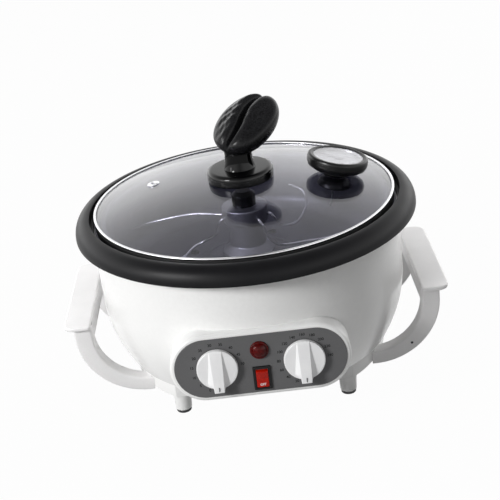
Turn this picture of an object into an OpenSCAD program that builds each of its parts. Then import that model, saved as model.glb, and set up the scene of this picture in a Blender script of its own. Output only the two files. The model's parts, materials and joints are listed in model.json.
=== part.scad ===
// Countertop coffee bean roaster: a round bowl body on four legs, a black rim ring, a non-stick pan with a
// wire stirrer, a glass lid with a bean-shaped knob and a thermometer, and a control plate at the front.
// The origin is on the table under the middle of the object's box. -Y is the front, +X the right-hand side.

/* [Body] */
// Outer radius of the bowl at its widest
bowl_r = 140; // [126:1:168]
// Height of the lid's edge above the table
rim_z = 171; // [160:1:205]
// How far the bowl draws in between its belly and the seam
bowl_draw = 15.5; // [12:0.5:18]
// Wall of the outer shell
shell_wall = 2; // [1.5:0.1:3]
// Wall of the base shell
base_wall = 2.6; // [2:0.1:3.5]
// Thickness of the base shell's floor
floor_t = 3; // [2.5:0.1:4]
// Height of the base shell, from its floor to the seam
base_h = 17.5; // [16.5:0.5:22]
// How far the base stands in from the bowl's lower edge
base_inset = 6; // [4:0.5:8]

/* [Rim ring] */
// How far the ring stands out past the bowl
ring_out = 15; // [12:0.5:18]
// Height of the ring
ring_h = 15.5; // [14:0.5:18]
// Skin of the ring
ring_skin = 2.2; // [1.8:0.1:2.6]
// Width of the dark groove between the ring and the lid
groove_w = 4.5; // [3:0.1:6]

/* [Pan] */
// Depth of the pan below the lid's seat
pan_depth = 54; // [45:1:64]
// Sheet of the pan
pan_t = 2; // [1.5:0.1:2.5]
// Height of the raised middle of the pan
pan_rise = 4; // [3:0.5:6]
// Radius of the circle of screws that hold the pan
pan_screw_circle = 57; // [52:1:68]

/* [Legs] */
// Length of a leg and its foot
leg_h = 18.5; // [17:0.5:24]
// Radius of a leg at its top
leg_r = 8.2; // [6.5:0.1:9]
// Radius of a leg at its bottom
leg_tip_r = 7.4; // [7:0.1:8]
// Sideways distance of a leg from the middle
leg_x = 75; // [62:0.5:77]
// Fore and aft distance of a leg from the middle
leg_y = 79.5; // [70:0.5:80]
// Radius of a rubber foot
foot_r = 6.9; // [6:0.1:7]
// Height of a rubber foot
foot_h = 3; // [2:0.1:4]

/* [Handles] */
// Length of the grip, fore and aft
grip_l = 136; // [120:1:160]
// Width of the grip
grip_w = 24.5; // [21:0.5:30]
// Thickness of the grip plate
grip_t = 4; // [3:0.1:5]
// Height of the grip's top above the table
grip_z = 88.5; // [80:0.5:96]
// Gap between the bowl and the grip
grip_gap = 8; // [7:0.5:14]
// Width of a handle arm, fore and aft
arm_w = 14; // [10:1:24]
// Thickness of a handle arm and the rail
arm_t = 16; // [14:0.5:18]
// Height of the rail under the grip
rail_h = 15.5; // [12:0.5:20]

/* [Control panel] */
// Width of the control housing
panel_w = 150.5; // [147:0.5:186]
// Height of the control housing
panel_h = 59; // [57:0.5:76]
// Width of the grey control label
label_w = 143; // [138:1:148]
// Height of the grey control label
label_h = 51.5; // [49:0.5:57]
// Thickness of the label
label_t = 0.8; // [0.5:0.1:1.2]
// How far the panel stands in front of the bowl
panel_out = 8; // [6:0.5:12]
// How far the panel leans back, in degrees
panel_tilt = 6; // [3:0.5:8]
// Distance between the two knobs
knob_pitch = 72; // [70:1:80]
// Radius of a knob
knob_r = 17.3; // [15:0.1:20]
// Height of a knob's disc above the panel
knob_disc_h = 5.5; // [5:0.1:9]
// Height of a knob's grip bar above the panel, at its pointing end
knob_h = 10.5; // [9.5:0.5:20]
// Width of a knob's grip bar
bar_w = 9; // [8:0.5:11]
// Radius of the control spindles
spindle_r = 3; // [2.5:0.1:3.3]

/* [Lid] */
// Rise of the glass from its edge to its top
dome_rise = 16.5; // [14:0.5:22]
// Thickness of the glass
glass_t = 4; // [3.5:0.1:5]
// Radius of the lid knob's base disc
knob_base_r = 30; // [26:0.5:36]
// Height of the knob's base disc
knob_base_h = 10.5; // [8:0.5:13]
// Radius of the knob's stem
stem_r = 12.3; // [10:0.1:13.5]
// Height of the knob's stem
stem_h = 18; // [14:0.5:22]
// Length of the bean
bean_l = 66.5; // [56:0.5:80]
// Width of the bean
bean_w = 54; // [44:0.5:62]
// Thickness of the bean
bean_t = 30.2; // [26:0.1:36]

/* [Thermometer] */
// Sideways place of the thermometer on the lid
gauge_x = 85.3; // [76:0.1:88]
// Fore and aft place of the thermometer on the lid
gauge_y = 0; // [-12:1:12]
// Radius of the thermometer's case
gauge_r = 27.5; // [24:0.5:32]
// Height of the thermometer's case
gauge_h = 12.5; // [11:0.5:15]
// Height of the neck under the case
neck_h = 5; // [4.6:0.1:9]
// Lean of the thermometer, in degrees
gauge_lean = 12.3; // [10:0.1:14]
// Radius of the flange that stands on the glass
flange_r = 15.5; // [12:0.5:18]

/* [Stirrer] */
// Radius of the drive shaft
shaft_r = 4; // [3:0.1:5]
// Radius of the hub's upper disc
hub_r = 21; // [19:0.5:25]
// Radius of the stirrer wire
wire_r = 1.25; // [1:0.05:1.5]

/* [Fits] */
// Radial clearance of a turning shaft in its bore
run_clear = 0.05; // [0.02:0.01:0.08]
// Radial clearance of pieces that are pushed together
push_clear = 0.02; // [0.01:0.01:0.05]
// Clearance between fixed curved pieces
seat_clear = 0.15; // [0.1:0.05:0.3]
// Clearance between pieces that move past each other
move_clear = 0.6; // [0.4:0.1:1]

/* [Hidden] */
$fn = 64;

white = "#f2f1ef";
black = "#1b1b1d";
steel = "#b9bbbe";
dark_coat = "#4a4a50";
brass = "#b5904a";

// Heights of the main planes
base_z = leg_h;
seam_z = base_z + base_h;
belly_z = rim_z - 78;
lid_seat_z = rim_z - 10.5;
pan_flange_t = 1.6;
gasket_t = 2.4;
shell_top_z = lid_seat_z - pan_flange_t - gasket_t;
seam_gap = 0.4;
flange_t = 2;
plate_t = 2;
plate_z = seam_z + seam_gap + flange_t;
pan_floor_z = lid_seat_z - pan_depth;

// Radii that follow the bowl
lid_r = bowl_r - 3.5;
ring_in_r = lid_r + groove_w;
ring_out_r = bowl_r + ring_out;
shell_lip_r = bowl_r - 11;
pan_flange_r = bowl_r - 2.5;
pan_top_r = bowl_r - 14;
pan_bend_r = bowl_r - 34;
base_lip_r = bowl_r - 56;
base_r = bowl_r - bowl_draw - base_inset;
base_front = leg_y + leg_r + 0.3;
base_post_x = bowl_r - 39;
base_post_y = 30;

// Radius of the bowl's outside at a height; it is straight above the belly and draws in below it
draw_power = 2;
function bowl_at(z) = z >= belly_z ? bowl_r
    : bowl_r - bowl_draw * pow((belly_z - z) / (belly_z - seam_z), draw_power);
// Points of the bowl's profile between two heights, moved out by some amount
profile_steps = 12;
function bowl_profile(z0, z1, out) =
    [for (i = [0 : profile_steps]) let (z = z0 + (z1 - z0) * i / profile_steps) [bowl_at(z) + out, z]];
function reversed(list) = [for (i = [len(list) - 1 : -1 : 0]) list[i]];
// Points of an arc
function arc(cx, cy, r, a0, a1, steps) =
    [for (i = [0 : steps]) let (a = a0 + (a1 - a0) * i / steps) [cx + r * cos(a), cy + r * sin(a)]];

// The panel's own frame: x to the right, y up the panel, z out of it
panel_y = bowl_r + panel_out;
panel_z = rim_z - 91.5;
knob_seat = 1.6;
bar_over = 1.2;
bar_half = knob_r + bar_over;
front_reach = panel_y + knob_h * cos(panel_tilt) + bar_half * sin(panel_tilt);
body_y = (front_reach - ring_out_r) / 2;
module placed() { translate([0, body_y, 0]) children(); }
module on_panel() { placed() translate([0, -panel_y, panel_z]) rotate([90 - panel_tilt, 0, 0]) children(); }

// A solid of the outer shape of the bowl and the base under it, for coping what meets them
module bowl_solid(out, low_z = base_z - 6) {
    rotate_extrude() polygon(concat([[0, low_z], [base_r + out, low_z], [base_r + out, seam_z]],
        bowl_profile(seam_z, rim_z, out), [[0, rim_z]]));
}
module tube(r_out, r_in, h) {
    difference() {
        cylinder(r = r_out, h = h);
        translate([0, 0, -1]) cylinder(r = r_in, h = h + 2);
    }
}
// A round-headed screw that points up, with its head under z = 0
module screw(r, length, head_r, head_h) {
    translate([0, 0, -head_h / 2]) cylinder(r = r, h = length + head_h / 2);
    translate([0, 0, -head_h]) cylinder(r = head_r, h = head_h);
}
// Repeats its children at four places round a circle
module four(angle) { for (i = [0 : 3]) rotate(angle + 90 * i) children(); }
module leg_places() {
    for (sx = [-1, 1], sy = [-1, 1]) translate([sx * leg_x, sy * leg_y, 0]) children();
}
module base_screw_places() {
    for (sx = [-1, 1], sy = [-1, 1]) translate([sx * base_post_x, sy * base_post_y, 0]) children();
}

// ---- Body and base ----

// The front of the shell is cut away behind the control housing
cut_w = panel_w - 14;
cut_h = panel_h - 10;
module shell_cut() {
    on_panel() translate([0, 0, -bowl_r * 0.6]) linear_extrude(bowl_r * 0.6)
        polygon(stadium(cut_w, cut_h));
}
gland_r = 6;
gland_z = seam_z + 18;
module gland_place() {
    placed() translate([0, bowl_at(gland_z), gland_z]) rotate([-90, 0, 0]) children();
}
screw_r = 2;
screw_hole_r = 2.2;
module outer_shell() {
    lift = seam_z + seam_gap;
    color(white) difference() {
        placed() rotate_extrude() polygon(concat(
            [[base_lip_r, lift]],
            bowl_profile(lift, shell_top_z, 0),
            [[shell_lip_r, shell_top_z], [shell_lip_r, shell_top_z - flange_t]],
            reversed(bowl_profile(lift + flange_t, shell_top_z - flange_t, -shell_wall)),
            [[base_lip_r, lift + flange_t]]));
        shell_cut();
        gland_place() translate([0, 0, -10]) cylinder(r = gland_r + seat_clear, h = 20);
        placed() base_screw_places() translate([0, 0, lift - 1]) cylinder(r = screw_hole_r, h = flange_t + 2);
    }
}

// Handle arms are screwed on from inside the base shell
arm_y = grip_l / 2 - 4 - arm_w / 2;
arm_screw_z = base_z + 6;
arm_screw_r = 1.5;
arm_screw_l = 26;
boss_x = bowl_r - 43;
module arm_screw_places() {
    placed() for (sx = [-1, 1], sy = [-1, 1])
        translate([sx * boss_x, sy * arm_y, arm_screw_z]) rotate([0, sx * 90, 0]) children();
}
vent_count = 16;
// The base is round, with a straight front behind the control housing
module base_block(inset, z0, z1) {
    intersection() {
        translate([0, 0, z0]) cylinder(r = base_r - inset, h = z1 - z0, $fn = 128);
        translate([-bowl_r, -base_front + inset, z0 - 1]) cube([2 * bowl_r, 2 * bowl_r, z1 - z0 + 2]);
    }
}
module base_shell() {
    color(white) difference() {
        union() {
            placed() difference() {
                base_block(0, base_z, seam_z);
                base_block(base_wall, base_z + floor_t, seam_z + 1);
            }
            placed() base_screw_places() translate([0, 0, base_z + 1]) cylinder(r = 5, h = base_h - 1);
            intersection() {
                arm_screw_places() cylinder(r = 4.2, h = bowl_r / 5);
                placed() base_block(1, base_z + 1, seam_z);
            }
        }
        placed() base_screw_places() translate([0, 0, base_z - 1]) {
            cylinder(r = screw_hole_r, h = base_h + 2);
            cylinder(r = 4.3, h = 3.2);
        }
        arm_screw_places() translate([0, 0, -1]) cylinder(r = arm_screw_r + 0.2, h = bowl_r / 3);
        placed() leg_places() translate([0, 0, base_z - 1]) cylinder(r = screw_hole_r, h = floor_t + 2);
        placed() for (i = [0 : vent_count - 1]) rotate(360 / vent_count * (i + 0.5))
            translate([45, -2, base_z - 1]) cube([28, 4, floor_t + 2]);
    }
}
module base_screws() {
    color(steel) placed() base_screw_places() translate([0, 0, base_z + 2]) screw(screw_r, base_h + 5, 3.9, 1.8);
}
module legs() {
    color(white) placed() leg_places() difference() {
        translate([0, 0, foot_h]) cylinder(r1 = leg_tip_r, r2 = leg_r, h = leg_h - foot_h);
        translate([0, 0, foot_h + 3]) cylinder(r = screw_r + push_clear, h = leg_h);
    }
}
module leg_screws() {
    color(steel) placed() leg_places() translate([0, 0, base_z + floor_t]) mirror([0, 0, 1])
        screw(screw_r, floor_t + leg_h - foot_h - 4.5, 4, 2.4);
}
module rubber_feet() {
    color(black) placed() leg_places() cylinder(r = foot_r, h = foot_h);
}
module rim_ring() {
    top_z = rim_z - 1.7;
    low_z = top_z - ring_h;
    crest_r = ring_in_r + 2;
    drop = ring_h - 1.5;
    reach = ring_out_r - crest_r;
    // Outer skin: a quarter of an ellipse from the crest down to the widest edge
    skin = [for (i = [0 : 10]) let (a = 90 - 9 * i) [crest_r + reach * cos(a), top_z - drop + drop * sin(a)]];
    foot_in_r = pan_flange_r + 0.7;
    color(black) placed() rotate_extrude() polygon(concat(
        [[foot_in_r, shell_top_z], [foot_in_r, lid_seat_z], [ring_in_r, lid_seat_z],
            [ring_in_r, top_z - 1.2], [ring_in_r + 0.6, top_z - 0.3]],
        skin,
        [[ring_out_r - 0.4, low_z + 0.3], [ring_out_r - 1.4, low_z], [ring_out_r - ring_skin, low_z + 0.8],
            [ring_out_r - ring_skin - 1, shell_top_z]]));
}

// ---- Pan ----

pan_under_z = pan_floor_z - pan_t;
bend_r = 15;
rise_in_r = 38;
rise_out_r = 46;
bush_r = 6;
pan_wall_out_r = pan_top_r + 1.5;
// Inside line of the pan from its middle to the foot of the wall, let out by the sheet's thickness
function pan_line(inset) = concat(
    [[bush_r + seat_clear, pan_floor_z + pan_rise - inset], [rise_in_r, pan_floor_z + pan_rise - inset],
        [rise_out_r, pan_floor_z - inset]],
    arc(pan_bend_r, pan_floor_z + bend_r, bend_r + inset, -90, -8, 7));
module roasting_pan() {
    color(dark_coat) placed() difference() {
        rotate_extrude() polygon(concat(
            pan_line(0),
            [[pan_top_r, lid_seat_z - 2.5], [pan_wall_out_r, lid_seat_z], [pan_flange_r, lid_seat_z],
                [pan_flange_r, lid_seat_z - pan_flange_t], [pan_wall_out_r + 1.2, lid_seat_z - pan_flange_t],
                [pan_top_r + pan_t, lid_seat_z - 4.5]],
            reversed(pan_line(pan_t))));
        four(pan_screw_angle) translate([pan_screw_circle, 0, pan_under_z - 1])
            cylinder(r = screw_hole_r, h = pan_t + 2);
    }
}
pan_screw_angle = 66;
module pan_gasket() {
    color(black) placed() translate([0, 0, shell_top_z])
        tube(pan_flange_r - 1, pan_flange_r - 7.5, gasket_t);
}
module pan_screws() {
    color(steel) placed() four(pan_screw_angle) translate([pan_screw_circle, 0, pan_floor_z])
        mirror([0, 0, 1]) screw(screw_r, 14, 4, 2);
}
shield_z = plate_z + plate_t + 36;
shield_t = 1;
post_r = 5;
post_top_r = 3.6;
module pan_posts() {
    foot = plate_z + plate_t;
    color(steel) placed() four(pan_screw_angle) translate([pan_screw_circle, 0, 0]) difference() {
        union() {
            translate([0, 0, foot]) cylinder(r = post_r, h = shield_z - foot);
            translate([0, 0, shield_z]) cylinder(r = post_top_r, h = pan_under_z - shield_z);
        }
        translate([0, 0, pan_under_z - 13]) cylinder(r = screw_r + push_clear, h = 14);
    }
}

// ---- Handles ----

// The right-hand frame: a rail under the grip and two arms that curve in to the base shell
grip_in_x = bowl_r + grip_gap;
rail_out_x = grip_in_x + arm_t;
grip_under_z = grip_z - grip_t;
bow_z = grip_under_z - 9.5;
arm_low_z = base_z - 3.5;
bow_r = bow_z - arm_low_z;
bow_x = rail_out_x - bow_r;
inner_bow_r = bow_r - 14;
inner_bow_x = grip_in_x - inner_bow_r;
arm_end_h = 12.6;
inner_bow_z = arm_low_z + arm_end_h + inner_bow_r;
arm_end_x = bowl_r - 48;
module y_cylinder(r, w) { rotate([90, 0, 0]) cylinder(r = r, h = w, center = true, $fn = 128); }
module arm() {
    difference() {
        union() {
            intersection() {
                translate([bow_x, 0, bow_z]) y_cylinder(bow_r, arm_w);
                translate([bow_x, -arm_w, arm_low_z]) cube([bow_r + 1, 2 * arm_w, bow_z - arm_low_z]);
            }
            translate([bow_x, -arm_w / 2, bow_z]) cube([bow_r, arm_w, grip_under_z - bow_z]);
            translate([arm_end_x, -arm_w / 2, arm_low_z]) cube([bow_x - arm_end_x, arm_w, bow_z - arm_low_z]);
        }
        translate([inner_bow_x, 0, inner_bow_z]) y_cylinder(inner_bow_r, arm_w + 2);
        translate([arm_end_x - 1, -arm_w, inner_bow_z]) cube([grip_in_x - arm_end_x + 1, 2 * arm_w, bow_r * 2]);
        translate([arm_end_x - 1, -arm_w, arm_low_z + arm_end_h])
            cube([inner_bow_x - arm_end_x + 1, 2 * arm_w, bow_r * 2]);
    }
}
grip_screw_y = arm_y;
module handle_frame() {
    difference() {
        union() {
            for (sy = [-1, 1]) translate([0, sy * arm_y, 0]) arm();
            translate([grip_in_x, -arm_y, grip_under_z - rail_h]) cube([arm_t, 2 * arm_y, rail_h]);
        }
        bowl_solid(seat_clear);
        for (sy = [-1, 1]) translate([0, sy * arm_y, 0]) {
            translate([0, 0, arm_screw_z]) rotate([0, 90, 0])
                cylinder(r = arm_screw_r + push_clear, h = boss_x + arm_screw_l + 1);
            translate([grip_in_x + arm_t / 2, 0, grip_under_z - 11]) cylinder(r = screw_r + push_clear, h = 12);
        }
    }
}
module right_handle_frame() { color(white) placed() handle_frame(); }
module left_handle_frame() { color(white) placed() mirror([1, 0, 0]) handle_frame(); }
grip_corner_r = 12;
function rounded_rectangle(x0, x1, half, r) = concat(
    arc(x1 - r, half - r, r, 0, 90, 6), arc(x0 + 3, half - 3, 3, 90, 180, 3),
    arc(x0 + 3, -half + 3, 3, 180, 270, 3), arc(x1 - r, -half + r, r, 270, 360, 6));
module grip() {
    difference() {
        translate([0, 0, grip_under_z]) linear_extrude(grip_t)
            polygon(rounded_rectangle(grip_in_x, grip_in_x + grip_w, grip_l / 2, grip_corner_r));
        for (sy = [-1, 1]) translate([grip_in_x + arm_t / 2, sy * grip_screw_y, grip_under_z - 1])
            cylinder(r = screw_r + push_clear, h = 3.4);
    }
}
module right_grip() { color(white) placed() grip(); }
module left_grip() { color(white) placed() mirror([1, 0, 0]) grip(); }
module handle_screws() {
    color(steel) arm_screw_places() screw(arm_screw_r, arm_screw_l, 2.7, 2);
}
// Studs that key the grip plates to the rails
module grip_screws() {
    color(steel) placed() for (sx = [-1, 1], sy = [-1, 1])
        translate([sx * (grip_in_x + arm_t / 2), sy * grip_screw_y, grip_under_z - 10])
            cylinder(r = screw_r, h = 12.2);
}

// ---- Heat and drive ----

motor_r = 25;
motor_h = 15;
ear_x = 30;
motor_screw_r = 1.6;
module chassis_plate() {
    color(steel) placed() translate([0, 0, plate_z]) difference() {
        cylinder(r = bowl_at(plate_z) - shell_wall - 1, h = plate_t);
        translate([0, 0, -1]) cylinder(r = shaft_r + 1, h = plate_t + 2);
        base_screw_places() translate([0, 0, -1]) cylinder(r = screw_r + push_clear, h = plate_t + 2);
        for (sx = [-1, 1]) translate([sx * ear_x, 0, -1]) cylinder(r = motor_screw_r + 0.2, h = plate_t + 2);
    }
}
module heat_shield() {
    rim_r = bowl_r - 32;
    color(steel) placed() difference() {
        translate([0, 0, shield_z]) rotate_extrude() polygon([[shaft_r + 2, 0], [rim_r - 4, 0], [rim_r, 8],
            [rim_r - shield_t, 8.3], [rim_r - 4.6, shield_t], [shaft_r + 2, shield_t]]);
        four(pan_screw_angle) translate([pan_screw_circle, 0, shield_z - 1])
            cylinder(r = post_top_r + seat_clear, h = shield_t + 2);
    }
}
element_r = 3.5;
element_ring_r = 82;
element_z = pan_under_z - element_r - seat_clear;
element_gap = 24;
module heating_element() {
    color("#6d6a66") placed() union() {
        translate([0, 0, element_z]) rotate([0, 0, 90 + element_gap / 2])
            rotate_extrude(angle = 360 - element_gap, $fn = 96) translate([element_ring_r, 0]) circle(r = element_r, $fn = 24);
        for (s = [-1, 1]) rotate([0, 0, 90 + s * element_gap / 2])
            translate([element_ring_r, 0, shield_z + shield_t + 3])
                cylinder(r = element_r, h = element_z - shield_z - shield_t - 3, $fn = 24);
    }
}
// Blocks on the heat shield that carry the element
module element_brackets() {
    block = 10;
    color(steel) placed() for (a = [0, 180, 270]) rotate(a)
        translate([element_ring_r, 0, shield_z + shield_t]) difference() {
            translate([-block / 2, -block / 2, 0])
                cube([block, block, element_z - shield_z - shield_t]);
            translate([-element_ring_r, 0, element_z - shield_z - shield_t]) rotate_extrude($fn = 96)
                translate([element_ring_r, 0]) circle(r = element_r + seat_clear, $fn = 24);
        }
}
module thermal_fuse() {
    color(steel) placed() rotate(225) translate([40, 0, shield_z + shield_t]) {
        translate([-6, -9, 0]) cube([12, 18, 3]);
        translate([0, 0, 3]) cylinder(r = 5, h = 6);
    }
}
module terminal_block() {
    color("#e8e2d0") placed() translate([-17, 62, plate_z + plate_t]) difference() {
        cube([34, 16, 14]);
        for (i = [0 : 2]) translate([6 + 11 * i, 8, 6]) cylinder(r = 2.5, h = 9);
    }
}
module gear_motor() {
    top = plate_z;
    color(steel) placed() difference() {
        union() {
            translate([0, 0, top - motor_h]) cylinder(r = motor_r, h = motor_h);
            translate([-ear_x - 5, -5, top - 1.2]) cube([2 * ear_x + 10, 10, 1.2]);
        }
        translate([0, 0, top - motor_h + 4]) cylinder(r = shaft_r + run_clear, h = motor_h);
        for (sx = [-1, 1]) translate([sx * ear_x, 0, top - 3]) cylinder(r = motor_screw_r + 0.2, h = 5);
    }
}
module motor_screws() {
    color(steel) placed() for (sx = [-1, 1])
        translate([sx * ear_x, 0, plate_z - 1.2]) screw(motor_screw_r, 6, 3, 2);
}
hub_z = pan_floor_z + pan_rise + 2.8;
hub_top_z = rim_z - 12;
cap_h = 13;
module drive_shaft() {
    foot = plate_z - motor_h + 4.3;
    color(steel) placed() translate([0, 0, foot]) cylinder(r = shaft_r, h = hub_top_z + 7 - foot);
}
module shaft_bush() {
    under = pan_floor_z + pan_rise - pan_t;
    color(brass) placed() difference() {
        union() {
            translate([0, 0, under - 8]) cylinder(r = bush_r, h = 8 + pan_t + 1.8);
            translate([0, 0, under - 2]) cylinder(r = bush_r + 4, h = 2);
        }
        translate([0, 0, under - 9]) cylinder(r = shaft_r + run_clear, h = 20);
    }
}
module cable_gland() {
    color(black) difference() {
        union() {
            difference() {
                gland_place() translate([0, 0, -2]) cylinder(r = 10, h = 6);
                placed() bowl_solid(seat_clear);
            }
            gland_place() translate([0, 0, 4]) cylinder(r1 = 8, r2 = 5.5, h = 8);
            gland_place() translate([0, 0, -12]) cylinder(r = gland_r, h = 17);
        }
        gland_place() translate([0, 0, -13]) cylinder(r = 3.6, h = 26);
    }
}
module gland_nut() {
    color(black) gland_place() translate([0, 0, -9.5]) difference() {
        cylinder(r = 9, h = 4, $fn = 6);
        translate([0, 0, -1]) cylinder(r = gland_r + push_clear, h = 6);
    }
}

// ---- Control panel ----

// Outline with straight top and bottom and round ends
function stadium(w, h) = concat(
    arc((w - h) / 2, 0, h / 2, -90, 90, 20), arc(-(w - h) / 2, 0, h / 2, 90, 270, 20));
bush_out_r = 4.5;
bush_hole_r = bush_out_r + seat_clear;
lamp_y = 12;
lamp_r = 6.3;
switch_y = -13;
switch_w = 15;
switch_h = 21;
switch_body_w = switch_w - 2.4;
switch_body_h = switch_h - 2.4;
front_t = 3;
module panel_holes() {
    for (s = [-1, 1]) translate([s * knob_pitch / 2, 0, -10]) cylinder(r = bush_hole_r, h = 20);
    translate([0, lamp_y, -10]) cylinder(r = lamp_r + seat_clear, h = 20);
    translate([-switch_body_w / 2 - seat_clear, switch_y - switch_body_h / 2 - seat_clear, -10])
        cube([switch_body_w + 2 * seat_clear, switch_body_h + 2 * seat_clear, 20]);
}
module control_housing() {
    depth = 60;
    color(white) difference() {
        on_panel() difference() {
            translate([0, 0, -depth]) linear_extrude(depth) polygon(stadium(panel_w, panel_h));
            translate([0, 0, -depth - 1]) linear_extrude(depth + 1 - front_t)
                polygon(stadium(panel_w - 2 * front_t, panel_h - 2 * front_t));
            panel_holes();
        }
        placed() bowl_solid(seat_clear + 0.1);
    }
}
module control_label() {
    color("#6b6b6b") on_panel() difference() {
        linear_extrude(label_t) polygon(stadium(label_w, label_h));
        panel_holes();
    }
}
// A boxed control behind the panel, with its threaded bush through the panel
module control_body(w, h, d) {
    difference() {
        union() {
            translate([-w / 2, -h / 2, -front_t - d]) cube([w, h, d]);
            translate([0, 0, -front_t - 1]) cylinder(r = bush_out_r, h = front_t + 1 + label_t + 2.4);
        }
        translate([0, 0, -front_t - 16]) cylinder(r = spindle_r + run_clear, h = 40);
    }
}
module timer_body() { color("#d8d2c0") on_panel() translate([-knob_pitch / 2, 0, 0]) control_body(38, 36, 26); }
module thermostat_body() {
    color("#c9b48c") on_panel() translate([knob_pitch / 2, 0, 0]) control_body(34, 34, 22);
}
knob_socket_z = 7;
knob_roof = 1.6;
module spindle() { translate([0, 0, -front_t - 15.5]) cylinder(r = spindle_r, h = front_t + 15.5 + knob_socket_z - 0.3); }
module timer_shaft() { color(steel) on_panel() translate([-knob_pitch / 2, 0, 0]) spindle(); }
module thermostat_shaft() { color(steel) on_panel() translate([knob_pitch / 2, 0, 0]) spindle(); }
module control_nuts() {
    color(steel) on_panel() for (s = [-1, 1]) translate([s * knob_pitch / 2, 0, label_t]) difference() {
        cylinder(r = 7.5, h = 2.2, $fn = 6);
        translate([0, 0, -1]) cylinder(r = bush_out_r + push_clear, h = 5);
    }
}
// Disc with a wedge across it. The wedge rises from the disc's upper edge to its pointing end, which hangs past
// the disc's lower edge
module knob() {
    bar_low_h = knob_disc_h - 2;
    upper = bar_half - 2.4;
    difference() {
        union() {
            translate([0, 0, knob_seat]) cylinder(r1 = knob_r, r2 = knob_r - 0.4, h = knob_disc_h - knob_seat - 0.8);
            translate([0, 0, knob_disc_h - 0.81]) cylinder(r1 = knob_r - 0.4, r2 = knob_r - 1.2, h = 0.81);
            rotate([90, 0, 90]) linear_extrude(bar_w, center = true) polygon([[-bar_half, bar_low_h],
                [upper, bar_low_h], [upper, knob_disc_h + 0.6], [-bar_half, knob_h]]);
        }
        translate([0, 0, knob_seat - 1]) cylinder(r = knob_r - 2.5, h = knob_disc_h - knob_roof - knob_seat + 1);
        translate([0, 0, knob_seat]) cylinder(r = spindle_r + push_clear, h = knob_socket_z - knob_seat);
    }
}
module timer_knob() { color(white) on_panel() translate([-knob_pitch / 2, 0, 0]) knob(); }
module temperature_knob() { color(white) on_panel() translate([knob_pitch / 2, 0, 0]) knob(); }
module lamp_body() {
    color("#8c1515") on_panel() translate([0, lamp_y, 0]) union() {
        translate([0, 0, label_t]) cylinder(r1 = lamp_r + 1.5, r2 = lamp_r + 0.9, h = 1.4);
        translate([0, 0, -20]) cylinder(r = lamp_r, h = 20 + label_t + 0.5);
    }
}
module lamp_lens() {
    dome_h = 3.2;
    color("#7a1010") on_panel() translate([0, lamp_y, label_t + 1.4]) rotate_extrude()
        polygon(concat([[0, 0]], [for (i = [0 : 6]) [lamp_r * cos(15 * i), dome_h * sin(15 * i)]]));
}
rocker_w = 10.2;
rocker_l = 15.6;
rocker_tilt = 9;
pivot_z = -1.6;
pin_r = 1;
module rocker_place() {
    on_panel() translate([0, switch_y, label_t + pivot_z]) children();
}
module switch_frame() {
    color(black) difference() {
        on_panel() translate([0, switch_y, 0]) union() {
            translate([-switch_w / 2, -switch_h / 2, label_t]) cube([switch_w, switch_h, 1.4]);
            translate([-switch_body_w / 2, -switch_body_h / 2, -18])
                cube([switch_body_w, switch_body_h, 18.2 + label_t]);
        }
        rocker_place() translate([-rocker_w / 2 - 0.3, -rocker_l / 2 - 0.75, -7])
            cube([rocker_w + 0.6, rocker_l + 1.5, 20]);
        rocker_place() rotate([0, 90, 0]) cylinder(r = pin_r + run_clear, h = rocker_w + 1.7, center = true);
    }
}
// The rocker is a shallow vee across its pivot, stored with its upper half out
module switch_rocker() {
    half = rocker_l / 2;
    color("#d03018") rocker_place() rotate([rocker_tilt, 0, 0]) union() {
        rotate([90, 0, 90]) linear_extrude(rocker_w, center = true)
            polygon([[-half, -3.5], [half, -3.5], [half, 4.4], [0, 3.2], [-half, 4.4]]);
        rotate([0, 90, 0]) cylinder(r = pin_r, h = rocker_w + 1.2, center = true);
    }
}

// ---- Stirrer ----

wire_z = hub_top_z - 9;
wire_root_r = hub_r - 6;
module stirrer_hub() {
    color("#b4b4b8") placed() difference() {
        rotate_extrude() polygon([[0, hub_z], [24, hub_z], [24, hub_z + 3], [19, hub_z + 7], [16.5, hub_z + 9],
            [16, hub_top_z - 16], [hub_r - 1, hub_top_z - 15], [hub_r, hub_top_z - 14],
            [hub_r, hub_top_z - 1.5], [hub_r - 1.5, hub_top_z], [0, hub_top_z]]);
        translate([0, 0, hub_z - 1]) cylinder(r = shaft_r + push_clear, h = hub_top_z);
        for (a = wire_angles) rotate(a) translate([wire_root_r - 0.5, 0, wire_z]) rotate([0, 90, 0])
            cylinder(r = wire_r + 0.1, h = hub_r);
    }
}
module stirrer_cap() {
    color(black) placed() difference() {
        union() {
            translate([0, 0, hub_top_z]) cylinder(r = 11, h = cap_h - 3, $fn = 12);
            translate([0, 0, hub_top_z + cap_h - 3.01]) cylinder(r1 = 10, r2 = 6, h = 3.01);
        }
        translate([0, 0, hub_top_z - 1]) cylinder(r = shaft_r + push_clear, h = 8.4);
    }
}
// Each wire leaves the hub straight, then bends through hand-set points given as radius, angle and drop
// below its root; the angle is counted from the wire's own root
wire_angles = [172, 203, 300, 343];
wire_routes = [
    [[48, -9, 1], [70, -8, 4], [92, -8, 9], [113, -9, 16]],
    [[27, -8, 6], [29, -28, 18], [41, -44, 28], [54, -40, 34], [62, -28, 38.5], [80, -16, 39], [98, -4, 39]],
    [[27, 4, 6], [27, 14, 18], [29, 34, 28], [36, 52, 33], [52, 64, 36], [72, 68, 38], [94, 72, 38]],
    [[28, 3, 6], [33, 11, 14], [46, 32, 20], [64, 52, 24], [86, 64, 25], [102, 71, 24], [110, 76, 20], [108, 82, 15]]];
// The drops are for the lowest point below; all of them shrink or grow so that it passes the pan's floor by its gap
wire_lowest = 39;
wire_floor_gap = 4.5;
drop_scale = (wire_z - pan_floor_z - wire_floor_gap) / wire_lowest;
function wire_point(p, a) = [p[0] * cos(a + p[1]), p[0] * sin(a + p[1]), wire_z - p[2] * drop_scale];
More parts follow.
